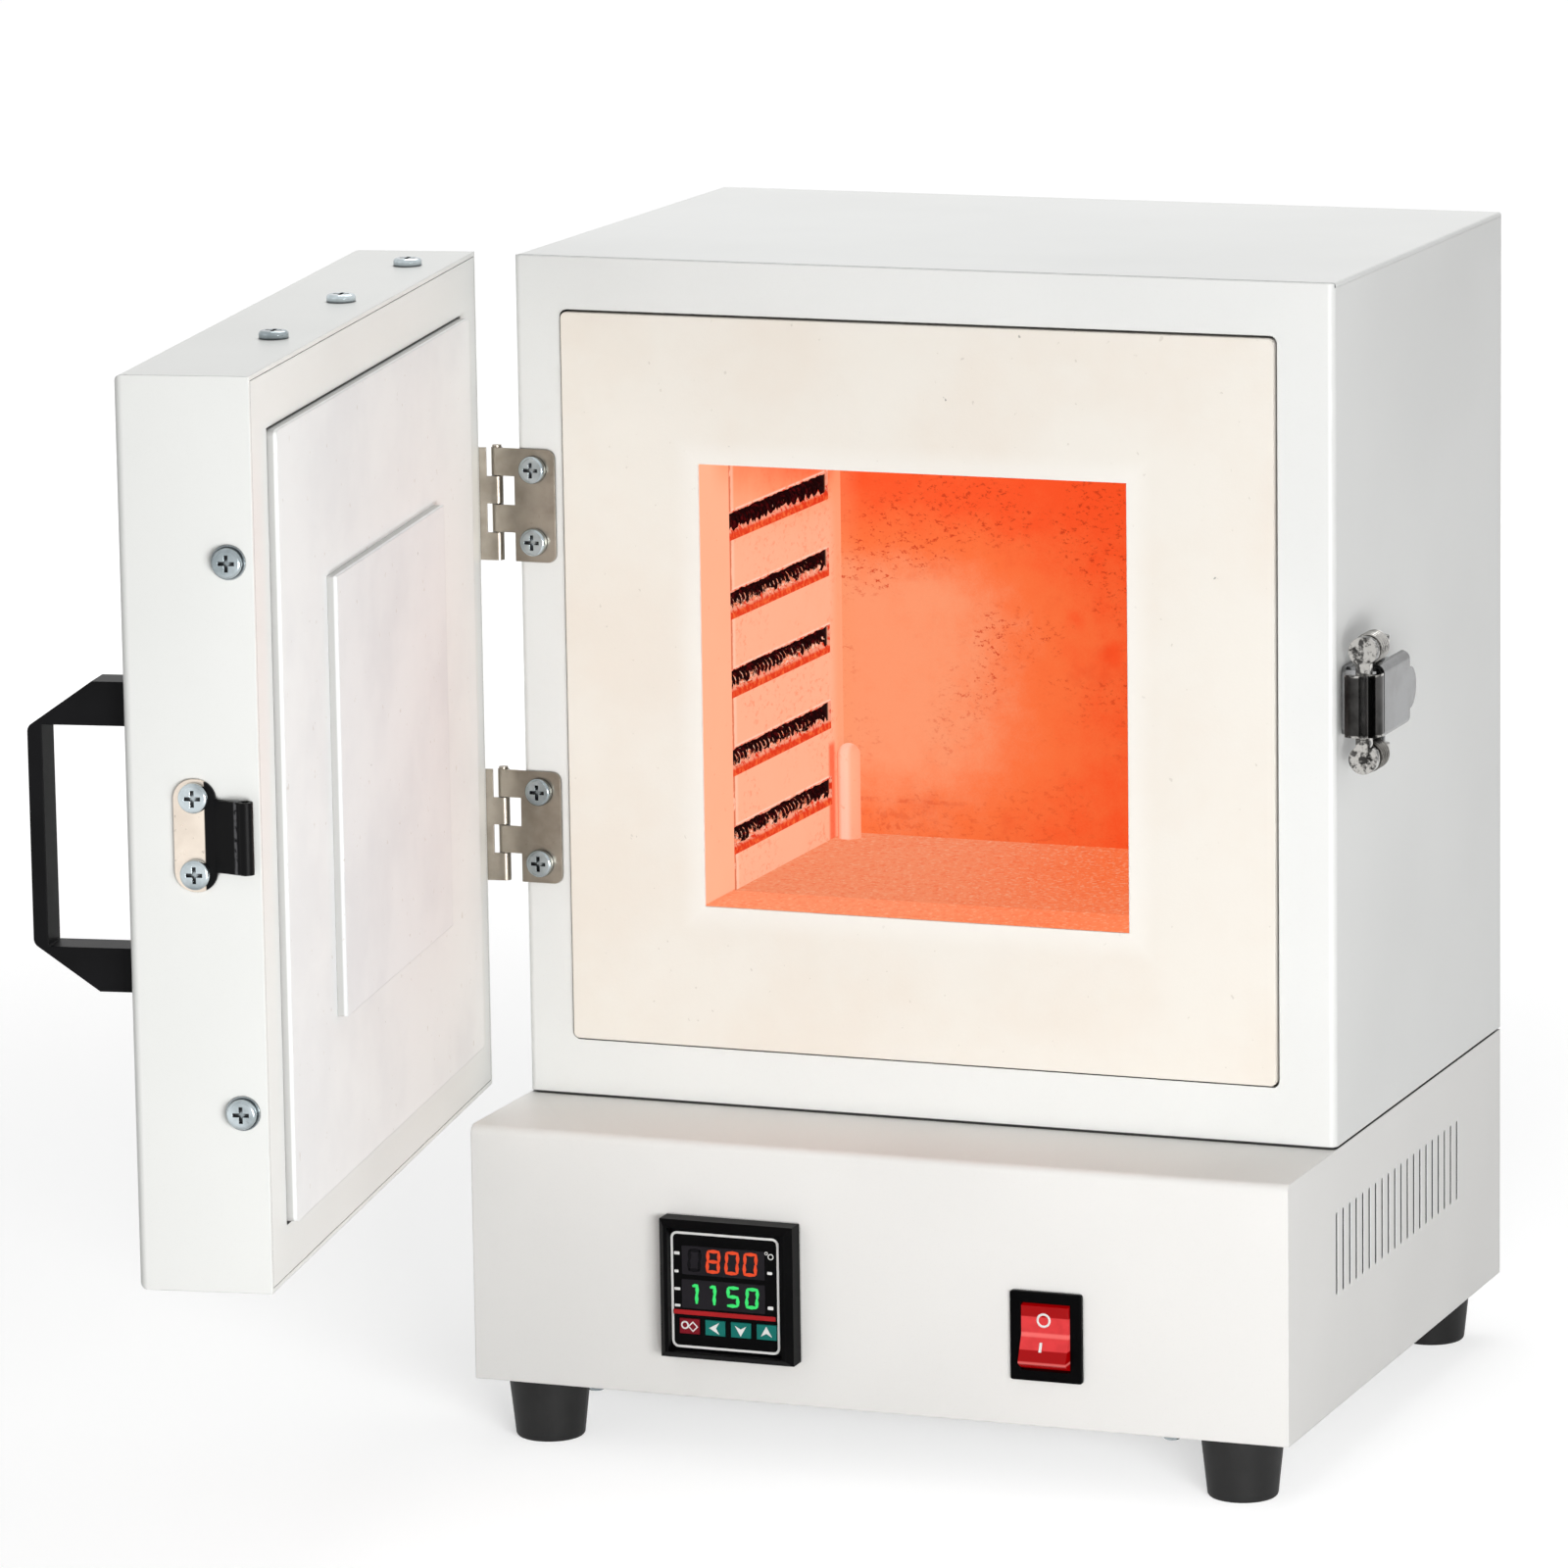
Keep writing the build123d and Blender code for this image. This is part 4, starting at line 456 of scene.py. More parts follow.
def wallHeat(brick, blotch, specks):
    # pale, redder towards the top and the rear, with dark slots
    steps = wallSteps
    x, y, z = brick.axes()
    pitch, tall = chamber["slotPitch"], chamber["slotTall"]
    upward = z.rise(*steps["redTop"])
    backward = y.rise(*steps["redRear"])
    heat = upward * (0.62 + backward * 0.50) + backward * 0.12 + (blotch - 0.5) * 0.20
    stains = brick.cloud(120.0, 4.0, 0.7).rise(0.60, 0.70) * y.rise(*steps["stainedRear"])
    # a painted highlight along the upper edge of each slot, and a painted highlight beside the joint with
    # the front board
    inPitch = (z - (chamber["slotFirst"] - pitch / 2)).wrapped(pitch)
    rimHighlight = (inPitch - (pitch + tall) / 2).band(*steps["rimHighlight"]) * brick.cloud(300.0, 3.0).rise(0.3, 0.5)
    rimHighlight = rimHighlight * y.fall(*past(chamber["slotRear"], (-0.001, 0.001)))
    fromJoint = y - chamber["joint"]
    ragged = brick.cloud(170.0, 4.0, 0.7)
    crack = (fromJoint + (ragged - 0.5) * 0.003).fall(*steps["jointCrack"]) * ragged.rise(0.36, 0.46)
    # painted shadow: behind the slots' ends the probe's shadow runs down the corner as a dark ember line
    probeShadowMask = y.band(*steps["probeShadow"]) * z.fall(*steps["probeTop"])
    # painted shade: inside the slots the brick is painted dark, in its glow and in its colour, with ember
    # light on the lower lip
    outward = x.apart(middleX)
    shadedCavity = outward.rise(*past(halfAcross, steps["shadedCavity"]))
    inSlot = inPitch.apart(pitch / 2).fall(*past(tall / 2, steps["slotEdge"]))
    inSlot = inSlot * y.fall(*past(chamber["slotRear"], steps["slotEnd"]))
    overFloor = inPitch - (pitch - tall) / 2
    low = outward.fall(*past(halfAcross, steps["lipFace"])).largest(overFloor.fall(*steps["lipFoot"]))
    dark = brick.mix(brick.cloud(700.0, 3.0).rise(0.5, 0.72), glowTones["shadeBlack"], glowTones["shadeMaroon"])
    coals = brick.cloud(420.0, 4.0, 0.7).rise(0.44, 0.66)
    pinkish = overFloor.rise(*steps["lipPink"]) * brick.cloud(420.0, 3.0).rise(0.36, 0.52)
    emberLip = brick.over(
        glowTones["ember"], (coals, glowTones["orange"]), (pinkish * 0.9, tone(252, 178, 148)),
    )
    glow = brick.over(
        glowTones["pale"],
        (heat.rise(0.0, 0.6), glowTones["peach"]),
        (heat.rise(0.35, 1.0), glowTones["red"]),
        ((specks * 0.35).largest(stains * 0.40), glowTones["rust"]),
        (y.rise(*steps["behindSlots"]) * 0.75, glowTones["peach"]),
        (rimHighlight * 0.9, glowTones["highlight"]),
        (fromJoint.fall(*steps["jointHighlight"]) * 0.55, tone(255, 220, 194)),
        (crack * 0.85, glowTones["soot"]),
        (probeShadowMask * 0.85, tone(240, 84, 46)),
        (shadedCavity.largest(inSlot * low) * inSlot, brick.mix(low, dark, emberLip)),
    )
    # painted shade also darkens the colour deep in the slots
    body = brick.over(
        tone(140, 84, 60),
        (inSlot * low, tone(118, 36, 18)),
        (shadedCavity * inSlot * (1 - low), tone(16, 4, 4)),
    )
    return glow, body


def hotBrick(name, heatOf):
    # heatOf gives the glow and the unlit colour of a wall, the back or the floor
    brick = Finish(name, {"Specular IOR Level": 0.2, "Emission Strength": glowTones["strength"]})
    fine = brick.cloud(1500.0, 3.0, 0.6)
    blotch = brick.cloud(95.0, 4.0, 0.6)
    streaky = brick.placed(scale=(1.0, 1.0, 1.7), turn=(0.0, 0.6, 0.0))
    specks = brick.cloud(300.0, 6.0, 0.75, streaky).rise(0.545, 0.61)
    specks = specks * brick.cloud(28.0, 3.0).rise(0.42, 0.55)
    glow, body = heatOf(brick, blotch, specks)
    height = fine * 0.7 + blotch * 0.5 + (1 - specks) * 0.6
    brick.feed(
        colour=body, glow=glow, roughness=0.86 + fine * 0.08,
        normal=brick.bump(height, 0.55, 0.0004),
    )


sheathSettings = {
    "glowing": (0.176, 0.182),                   # by height, from the floor up
    "shaded": (-0.0781, -0.0766),                # the dark side towards the wall
    # a painted highlight down the lit side
    "lit": (-0.0768, -0.0752, -0.0735, -0.0715),
}


def hotSheath(name):
    sheath = Finish(name, {"Specular IOR Level": 0.35, "Emission Strength": glowTones["strength"]})
    x = sheath.along("x")
    inside = sheath.along("z").rise(*sheathSettings["glowing"])
    # over the glow, painted shade on the side towards the wall and a painted highlight down the lit side
    hot = sheath.over(
        tone(236, 78, 46),
        (x.rise(*sheathSettings["shaded"]), tone(252, 166, 134)),
        (x.band(*sheathSettings["lit"]), tone(254, 200, 178)),
        (sheath.cloud(500.0, 4.0).rise(0.62, 0.75) * 0.4, glowTones["orange"]),
    )
    sheath.feed(
        colour=sheath.mix(inside, tone(226, 218, 202), tone(170, 110, 84)),
        glow=sheath.mix(inside, glowTones["none"], hot),
        roughness=0.55 + sheath.cloud(800.0) * 0.2,
        normal=sheath.bump(sheath.cloud(1200.0), 0.3, 0.0001),
    )


wireSettings = {
    "under": 0.004,           # heights in a slot count from this far below it
    # the top slot's painted shade, and the heights below which the turns are painted lit
    "topSlot": (0.296, 0.300), "topSlotShade": 0.0030,
    "ragged": 0.0170, "lit": (0.0020, 0.0034),
}


def hotWire(name):
    # painted shade and light: the turns are painted dark on top and pale below, where the glow would
    # light them
    wire = Finish(name, {"Emission Strength": glowTones["strength"], "Specular IOR Level": 0.04})
    z = wire.along("z")
    under = wireSettings["under"]
    rise = (z - (slotBottoms[0] - under)).wrapped(chamber["slotPitch"]) - under
    ragged = wire.cloud(190.0, 4.0, 0.7)
    # painted shade: the top slot's coil is painted darker still
    topShade = z.rise(*wireSettings["topSlot"]) * wireSettings["topSlotShade"]
    lit = (rise + topShade + (ragged - 0.5) * wireSettings["ragged"]).fall(*wireSettings["lit"])
    pale = wire.mix(wire.cloud(900.0).rise(0.4, 0.65), tone(246, 138, 100), tone(255, 212, 186))
    dark = wire.mix(wire.cloud(600.0).rise(0.5, 0.7), glowTones["shadeBlack"], tone(84, 8, 12))
    wire.feed(
        colour=wire.mix(lit, tone(12, 3, 3), tone(140, 78, 56)),
        glow=wire.mix(lit, dark, pale),
        roughness=0.6 + ragged * 0.3,
        normal=wire.bump(wire.cloud(2500.0), 0.4, 0.00008),
    )


# Metals.

def platedMetal(name, light, dark, gloss, brushed=(1, 1, 1), depth=0.0012, reach=0.35, endReflections=None):
    # painted shade darkens recesses: depth is how far a recess is felt, and reach how deep it has to be
    metal = Finish(name, {"Metallic": 1.0})
    shadedHollows = metal.nookShade(depth).rise(reach, reach + 0.35)
    broad = metal.cloud(55.0, 4.0, 0.6)
    lines = metal.cloud(900.0, 3.0, 0.6, metal.placed(scale=brushed))
    scratch = metal.cloud(420.0, 5.0, 0.8).rise(0.62, 0.7)
    plate = metal.over(light, (broad.rise(0.35, 0.7), dark), (scratch * 0.25, tone(96, 92, 88)))
    if endReflections:
        # painted reflection: the claw's ends, above and below its body, are painted bright and patchy
        beyond = metal.along("z").apart(endReflections["middle"]).rise(endReflections["half"], endReflections["half"] + 0.0004)
        reflectionPatches = metal.cloud(430.0, 3.0, 0.6).rise(0.40, 0.58)
        plate = metal.mix(beyond * reflectionPatches, plate, endReflections["light"])
    plate = metal.mix(shadedHollows * 0.95, plate, tone(18, 18, 20))
    metal.feed(
        colour=plate,
        roughness=gloss + lines * 0.14 + scratch * 0.15,
        normal=metal.bump(lines * 0.6 + broad * 0.4, 0.18, 0.00006, metal.softEdge(0.0002)),
    )


# painted reflection on the claw's ends: their middle height, half reach and bright colour
clawEndReflections = {"middle": 0.2626, "half": 0.0096, "light": tone(178, 176, 172)}

keeperSettings = {
    "plate": tone(236, 224, 210),
    "warm": tone(220, 207, 193),
    "stain": tone(120, 108, 96),
    "hook": tone(13, 13, 14),
    "sheen": tone(92, 92, 94),
    "darkReflection": 0.0165,         # how far the painted dark reflection and its painted sheen line lie back from the hook's end
    "shine": 0.0052,
}


def keeperMetal(name):
    # a nickelled plate whose hook is painted near-black, a painted reflection of dark surroundings, with
    # a painted sheen line
    settings = keeperSettings
    metal = Finish(name, {"Specular IOR Level": 0.08})
    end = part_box("keeper")[1].x
    start = end - settings["darkReflection"]
    x = metal.along("x")
    darkReflection = x.rise(start, start + 0.0004)
    rub = metal.cloud(300.0, 4.0, 0.7)
    shine = x.apart(end - settings["shine"]).fall(0.0002, 0.0008)
    shine = shine * metal.cloud(500.0, 3.0).rise(0.35, 0.55)
    plate = metal.over(
        settings["plate"],
        (metal.cloud(60.0, 4.0).rise(0.35, 0.7), settings["warm"]),
        (metal.cloud(700.0, 2.0).rise(0.68, 0.74) * 0.4, settings["stain"]),
    )
    dark = metal.mix(shine, settings["hook"], settings["sheen"])
    metal.feed(
        colour=metal.mix(darkReflection, plate, dark),
        metal=1 - darkReflection,
        roughness=0.24 + rub * 0.10 + darkReflection * 0.12,
        normal=metal.bump(rub, 0.15, 0.00005, metal.softEdge(0.0003)),
    )


# Plastics and rubber.

def mouldedPlastic(
    name, light, dark, roughness, gloss=0.5, grainScale=1800.0, grainHeight=0.00005, edge=0.0003,
):
    plastic = Finish(name, {"Specular IOR Level": gloss})
    broad = plastic.cloud(40.0, 3.0)
    grain = plastic.cloud(grainScale, 2.0, 0.6)
    rub = plastic.cloud(210.0, 5.0, 0.75).rise(0.62, 0.78)
    plastic.feed(
        colour=plastic.mix(broad.rise(0.3, 0.7) * 0.7 + rub * 0.3, dark, light),
        roughness=roughness + broad * 0.10 - rub * 0.10,
        normal=plastic.bump(grain, 0.35, grainHeight, plastic.softEdge(edge)),
    )


lensSettings = {
    # heights on the rocker: its band of painted reflection, and the painted highlight lines on its crest
    # and on the nose of its lower half
    "band": (0.0491, 0.0495, 0.0601, 0.0605),
    "crest": 0.0541,
    "noseHighlight": 0.0452,
}


def litPlastic(name, base, lit, strength, banded=False):
    # a lens or segment with a lamp behind it
    lens = Finish(name, {"Specular IOR Level": 0.16, "Emission Strength": strength})
    broad = lens.cloud(300.0, 2.0)
    glow = lens.mix(broad.rise(0.3, 0.7), lit, tuple(part * 0.86 for part in lit[:3]) + (1.0,))
    if banded:
        # painted reflection and highlights: a bright band where a softbox's reflection falls, dark red
        # above and below it, and bright lines on the crest and the nose
        z = lens.along("z")
        crest = z.apart(lensSettings["crest"]).fall(0.0003, 0.0011)
        noseHighlight = z.apart(lensSettings["noseHighlight"]).fall(0.0002, 0.0006)
        glow = lens.over(
            tone(128, 0, 2),
            (z.band(*lensSettings["band"]), glow),
            ((crest + noseHighlight * 0.8) * 0.6, tone(255, 138, 132)),
        )
    lens.feed(
        colour=base, glow=glow, roughness=0.18 + broad * 0.08,
        normal=lens.bump(lens.cloud(1400.0), 0.12, 0.00004, lens.softEdge(0.0003)),
    )


def fibreWool(name):
    wool = Finish(name, {"Specular IOR Level": 0.1, "Sheen Weight": 0.15})
    strands = wool.cloud(420.0, 6.0, 0.75, wool.placed(scale=(1.0, 4.0, 1.0)))
    tufts = wool.cloud(60.0, 4.0)
    wool.feed(
        colour=wool.mix(tufts.rise(0.3, 0.7), tone(238, 236, 228), tone(222, 216, 202)),
        roughness=0.9 + strands * 0.08,
        normal=wool.bump(strands * 0.7 + tufts, 0.8, 0.0012),
    )


powderCoat("shellWhite", tone(241, 242, 240), tone(236, 237, 235))
powderCoat("coverWhite", tone(243, 242, 239), tone(238, 237, 234), vented=True)
powderCoat("doorWhite", tone(242, 243, 240), tone(238, 239, 236))
castBoard("frontBoard", tone(245, 240, 231), tone(243, 235, 224), glowInside=True)
castBoard("doorBoard", tone(245, 246, 245), tone(238, 239, 239), doorNode="door_board")
castBoard("doorPlug", tone(241, 242, 242), tone(233, 234, 235), doorNode="door_plug")
hotBrick("brickWall", wallHeat)
hotBrick("brickBack", backHeat)
hotBrick("brickFloor", floorHeat)
hotSheath("sheath")
hotWire("elementWire")
fibreWool("wool")
keeperMetal("keeperNickel")
litPlastic("rockerRed", tone(120, 0, 2), tone(214, 66, 68), 0.9, banded=True)
litPlastic("digitsRed", tone(110, 24, 10), tone(224, 76, 40), 0.95)
litPlastic("digitsGreen", tone(16, 110, 50), tone(62, 222, 112), 0.95)

metals = {
    # light, dark, gloss, then what is its own
    "zincPlate": (tone(200, 210, 214), tone(140, 150, 154), 0.12, {"depth": 0.0016, "reach": 0.12}),
    "hingeNickel": (tone(172, 164, 152), tone(146, 138, 126), 0.24, {"brushed": (1, 1, 6)}),
    "latchNickel": (tone(126, 127, 128), tone(110, 110, 110), 0.14, {"brushed": (1, 1, 4)}),
    # painted reflection: the chrome claw's colour is kept dark, standing in for the dark surroundings it
    # mirrors
    "clawDarkReflection": (tone(74, 73, 72), tone(34, 33, 32), 0.05, {"endReflections": clawEndReflections}),
    "springSteel": (tone(186, 184, 180), tone(100, 97, 92), 0.14, {"depth": 0.0006}),
    "sinkAluminium": (tone(204, 206, 208), tone(186, 188, 190), 0.34, {"brushed": (8, 1, 1)}),
}
for finishName, (light, dark, gloss, own) in metals.items():
    platedMetal(finishName, light, dark, gloss, **own)

smooth = {"grainScale": 2500.0, "grainHeight": 0.00001}
plastics = {
    # light, dark, roughness, gloss, then what is its own
    "handleBlack": (
        tone(20, 20, 22), tone(12, 12, 13), 0.38, 0.09,
        {"grainScale": 1500.0, "grainHeight": 0.00006, "edge": 0.0006},
    ),
    "footRubber": (
        tone(44, 44, 44), tone(30, 30, 30), 0.52, 0.30,
        {"grainScale": 900.0, "grainHeight": 0.0001, "edge": 0.0004},
    ),
    "bezelBlack": (tone(11, 11, 12), tone(6, 6, 7), 0.34, 0.04, {}),
    "faceBlack": (tone(9, 9, 10), tone(6, 6, 7), 0.16, 0.04, smooth),
    "windowSmoke": (tone(42, 40, 44), tone(34, 32, 36), 0.12, 0.04, smooth),
    "ghostDigit": (tone(24, 23, 26), tone(18, 17, 20), 0.20, 0.04, smooth),
    "switchBlack": (tone(8, 8, 9), tone(4, 4, 5), 0.30, 0.03, {}),
    "glandBlack": (tone(38, 38, 38), tone(28, 28, 28), 0.45, 0.3, {}),
    "relayBlack": (tone(52, 52, 54), tone(40, 40, 42), 0.42, 0.5, {}),
    "terminalCream": (tone(226, 222, 208), tone(212, 206, 190), 0.4, 0.5, {}),
    "wireRed": (tone(172, 40, 34), tone(150, 28, 24), 0.4, 0.5, {}),
    "headCeramic": (tone(238, 236, 230), tone(226, 222, 212), 0.3, 0.5, {}),
    "keyTeal": (tone(20, 124, 114), tone(12, 108, 100), 0.4, 0.2, {"grainScale": 1200.0}),
    "keyMaroon": (tone(136, 16, 34), tone(116, 10, 26), 0.4, 0.2, {"grainScale": 1200.0}),
    "printWhite": (tone(246, 246, 244), tone(232, 232, 230), 0.5, 0.5, {}),
    "stripeRed": (tone(184, 34, 38), tone(168, 26, 30), 0.35, 0.2, {}),
}
for finishName, (light, dark, roughness, gloss, own) in plastics.items():
    mouldedPlastic(finishName, light, dark, roughness, gloss, **own)

finishOf = {
    "shellWhite": (
        "control_box_floor", "control_box_back", "front_frame", "side_panel_left", "side_panel_right",
        "top_panel", "bottom_panel", "back_panel",
    ),
    "coverWhite": ("control_box_cover",),
    "doorWhite": ("door_shell", "door_inner_panel"),
    "frontBoard": ("front_board",),
    "doorBoard": ("door_board",),
    "doorPlug": ("door_plug",),
    "brickWall": ("chamber_wall_left", "chamber_wall_right"),
    "brickBack": ("chamber_back",),
    "brickFloor": ("chamber_hearth", "chamber_roof"),
    "sheath": ("thermocouple",),
    "elementWire": ("heating_coils_left", "heating_coils_right"),
    "wool": ("insulation", "door_insulation"),
    "zincPlate": (
        "box_screws", "panel_screws", "foot_screws", "hinge_screws_body", "hinge_screws_door",
        "door_screws", "handle_screws", "keeper_screws", "latch_screws",
    ),
    "hingeNickel": ("hinge_leaves_body", "hinge_leaves_door", "hinge_pins"),
    "keeperNickel": ("keeper",),
    "latchNickel": ("latch_base", "latch_lever", "latch_trunnion"),
    "clawDarkReflection": ("latch_claw",),
    "springSteel": ("latch_springs",),
    "sinkAluminium": ("relay_heat_sink",),
    "handleBlack": ("handle",),
    "footRubber": ("rubber_feet",),
    "bezelBlack": ("controller_body", "controller_clamp"),
    "faceBlack": ("controller_face",),
    "switchBlack": ("switch_frame",),
    "glandBlack": ("cable_gland",),
    "relayBlack": ("relay",),
    "terminalCream": ("terminal_block",),
    "wireRed": ("wiring",),
    "headCeramic": ("thermocouple_head",),
    "keyTeal": ("key_left", "key_down", "key_up"),
    "keyMaroon": ("key_set",),
    "rockerRed": ("rocker",),
}

for finishName, members in finishOf.items():
    for member in members:
        piece = nodes[member]
        if not piece.material_slots:
            piece.data.materials.append(None)
        for holder in piece.material_slots:
            holder.material = finishes[finishName]
unfinished = sorted(set(nodes) - {member for members in finishOf.values() for member in members})
print("finishes on the carried-over nodes; left without one:", unfinished)


# Modelling helpers.

def only(piece):
    # the piece alone is selected and active
    bpy.ops.object.select_all(action="DESELECT")
    piece.select_set(True)
    bpy.context.view_layer.objects.active = piece


def settled(piece):
    # its place goes into its mesh, so that the object is at the origin, unturned and unscaled
    only(piece)
    bpy.ops.object.transform_apply(location=True, rotation=True, scale=True)
    return piece


def named(piece, name):
    piece.name = name
    piece.data.name = name
    return piece


def started(shape, name, **settings):
    # a new piece from one of Blender's own shapes
    bpy.ops.object.select_all(action="DESELECT")
    shape(**settings)
    return named(bpy.context.active_object, name)


def startBlock(name, low, high):
    middle = [(a + b) / 2 for a, b in zip(low, high)]
    size = [b - a for a, b in zip(low, high)]
    block = started(bpy.ops.mesh.primitive_cube_add, name, size=1, location=middle, scale=size)
    return settled(block)


def nothingChosen(piece, kind):
    # choosing goes by faces, vertices or edges from here on, and none is chosen yet
    only(piece)
    bpy.ops.object.mode_set(mode="EDIT")
    bpy.ops.mesh.select_mode(type=kind)
    bpy.ops.mesh.select_all(action="DESELECT")
    bpy.ops.object.mode_set(mode="OBJECT")
    return piece.data


def editFaces(piece, chosen):
    # edit mode with just the faces that chosen(centre, normal) picks
    for face in nothingChosen(piece, "FACE").polygons:
        face.select = bool(chosen(face.center, face.normal))
    bpy.ops.object.mode_set(mode="EDIT")


def editCorners(piece, chosen):
    # edit mode with just the vertices that chosen(place) picks
    for corner in nothingChosen(piece, "VERT").vertices:
        corner.select = bool(chosen(corner.co))
    bpy.ops.object.mode_set(mode="EDIT")


def editEdges(piece, chosen):
    # edit mode with just the edges that chosen(one end, other end) picks
    mesh = nothingChosen(piece, "EDGE")
    for edge in mesh.edges:
        edge.select = bool(chosen(*(mesh.vertices[index].co for index in edge.vertices)))
    bpy.ops.object.mode_set(mode="EDIT")


def outwardFaces():
    # in edit mode, every face is turned to look out
    bpy.ops.mesh.select_all(action="SELECT")
    bpy.ops.mesh.normals_make_consistent(inside=False)


def leaveEdit():
    bpy.ops.object.mode_set(mode="OBJECT")


def modified(piece, kind, **settings):
    only(piece)
    added = piece.modifiers.new(kind.title(), kind)
    for key, value in settings.items():
        setattr(added, key, value)
    bpy.ops.object.modifier_apply(modifier=added.name)


def copied(piece, name, place, turn):
    twin = piece.copy()
    twin.data = piece.data.copy()
    bpy.context.collection.objects.link(twin)
    twin.location = place
    twin.rotation_euler = turn
    return named(twin, name)


def joined(pieces, name):
    bpy.ops.object.select_all(action="DESELECT")
    for piece in pieces:
        piece.select_set(True)
    bpy.context.view_layer.objects.active = pieces[0]
    bpy.ops.object.join()
    return settled(named(pieces[0], name))


def dropped(piece):
    bpy.data.objects.remove(piece, do_unlink=True)


def dressed(piece, finishName, body="furnace", replaced=()):
    piece.data.materials.clear()
    piece.data.materials.append(finishes[finishName])
    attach(piece, body)
    if replaced:
        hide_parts(*replaced)


# Chamber side walls: slotted brick with worn rims and a sloping lip under each coil.

wallSettings = {
    "rimChip": 0.0006,        # how far the slots' upper rims are chipped away
    "chipLeast": -0.25,       # below 0 the rim is left whole
    "chipCarry": 0.6,         # how much of a chip carries over into the next one
    "chipCount": 76,
    "overcut": 0.001,
    "lipReach": 0.0008,
    "lipRise": 0.0015,        # least height of the broken lip, and how much more it may be
    "lipRagged": 0.0026,
    "lipRarity": 1.6,         # the higher, the fewer tall splinters
    "lipSlope": 0.5,          # how much of its height the lip loses towards the chamber
}


def longBlock(name, low, high):
    # a block whose long edges are split into chipCount parts, and the places of its rows along Y
    block = startBlock(name, low, high)
    editEdges(block, lambda a, b: abs(a.y - b.y) > 0.01)
    bpy.ops.mesh.subdivide(number_cuts=wallSettings["chipCount"] - 1)
    leaveEdit()
    return block, sorted({round(corner.co.y, 6) for corner in block.data.vertices})


def slottedWall(node, name, inward, seed):
    # inward is +1 on the left wall, whose face looks to +X, and -1 on the right wall
    chance = random.Random(seed)
    low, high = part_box(node)
    face = high.x if inward > 0 else low.x
    settings = wallSettings
    cutters = []
    over = settings["overcut"]
    x0, x1 = sorted((face - inward * chamber["slotDeep"], face + inward * over))
    for bottom in slotBottoms:
        middle = bottom + chamber["slotTall"] / 2
        cutterLow = (x0, low.y - over, bottom)
        cutterHigh = (x1, chamber["slotRear"], bottom + chamber["slotTall"])
        cutter, rows = longBlock("slotCutter", cutterLow, cutterHigh)
        drift = 0.0
        chips = {}
        for row in rows:
            chip = chance.uniform(settings["chipLeast"], 1.0) * settings["rimChip"] * 0.6
            drift = settings["chipCarry"] * drift + chip
            chips[row] = max(0.0, drift)
        for corner in cutter.data.vertices:
            if corner.co.z > middle:
                corner.co.z += chips[round(corner.co.y, 6)]
        cutters.append(cutter)
    cutter = joined(cutters, "slotCutters")
    wall = startBlock(name, low, high)
    modified(wall, "BOOLEAN", object=cutter, operation="DIFFERENCE", solver="EXACT")
    dropped(cutter)
    lips = []
    x0, x1 = sorted((face - inward * 0.0001, face - inward * settings["lipReach"]))
    for bottom in slotBottoms:
        lipLow = (x0, low.y, bottom - 0.0002)
        lipHigh = (x1, chamber["slotRear"] + 0.0001, bottom + settings["lipRise"])
        lip, rows = longBlock("slotLip", lipLow, lipHigh)
        ragged = {
            row: chance.uniform(0.0, 1.0) ** settings["lipRarity"] * settings["lipRagged"] for row in rows
        }
        for corner in lip.data.vertices:
            if corner.co.z > bottom + settings["lipRise"] / 2:
                corner.co.z += ragged[round(corner.co.y, 6)]
                if abs(corner.co.x - face) < 0.0003:
                    corner.co.z -= settings["lipSlope"] * (corner.co.z - bottom)
        lips.append(lip)
    return joined([wall, *lips], name)


for node, name, inward, seed in (
    ("chamber_wall_left", "slottedWallLeft", 1, 11),
    ("chamber_wall_right", "slottedWallRight", -1, 23),
):
    wall = slottedWall(node, name, inward, seed)
    dressed(wall, "brickWall", "furnace", [node])
print("chamber walls cut")


# Heating coils: each slot holds a close-wound element.

coilSettings = {
    "turns": 26,
    "radius": 0.0030,
    "wire": 0.0006,
    "restGap": 0.0003,
    "endGap": 0.0022,
    "sides": 8,
    "stepsPerTurn": 14,
    "sag": 0.00035,           # how far a coil strays up and sideways along its slot
    "waves": 3,
}


def windCoil(name, axisX, axisZ, front, back, seed):
    chance = random.Random(seed)
    settings = coilSettings
    length = back - front - 2 * settings["endGap"]
    coil = settled(started(
        bpy.ops.mesh.primitive_circle_add, name, vertices=settings["sides"], radius=settings["wire"],
        fill_type="NOTHING", location=(settings["radius"], 0, 0),
    ))
    modified(
        coil, "SCREW", axis="Y", angle=2 * math.pi, screw_offset=length / settings["turns"],
        iterations=settings["turns"], steps=settings["stepsPerTurn"],
        render_steps=settings["stepsPerTurn"], use_merge_vertices=False, use_normal_calculate=True,
    )
    editEdges(coil, lambda a, b: False)
    bpy.ops.mesh.select_non_manifold()
    bpy.ops.mesh.edge_face_add()
    outwardFaces()
    leaveEdit()
    waves = [
        (chance.uniform(0.5, 2.2), chance.uniform(0, 6.3), chance.uniform(0.3, 1.0))
        for _ in range(settings["waves"])
    ]
    for corner in coil.data.vertices:
        along = corner.co.y / length
        wobble = sum(
            size * math.sin(2 * math.pi * pace * along * 3 + start) for pace, start, size in waves
        )
        corner.co.z += settings["sag"] * wobble * 0.4
        corner.co.x += settings["sag"] * 0.5 * math.sin(5.1 * along * math.pi + waves[0][1])
        corner.co += Vector((axisX, front + settings["endGap"], axisZ + settings["sag"] * 0.5))
    only(coil)
    bpy.ops.object.shade_smooth()
    return coil


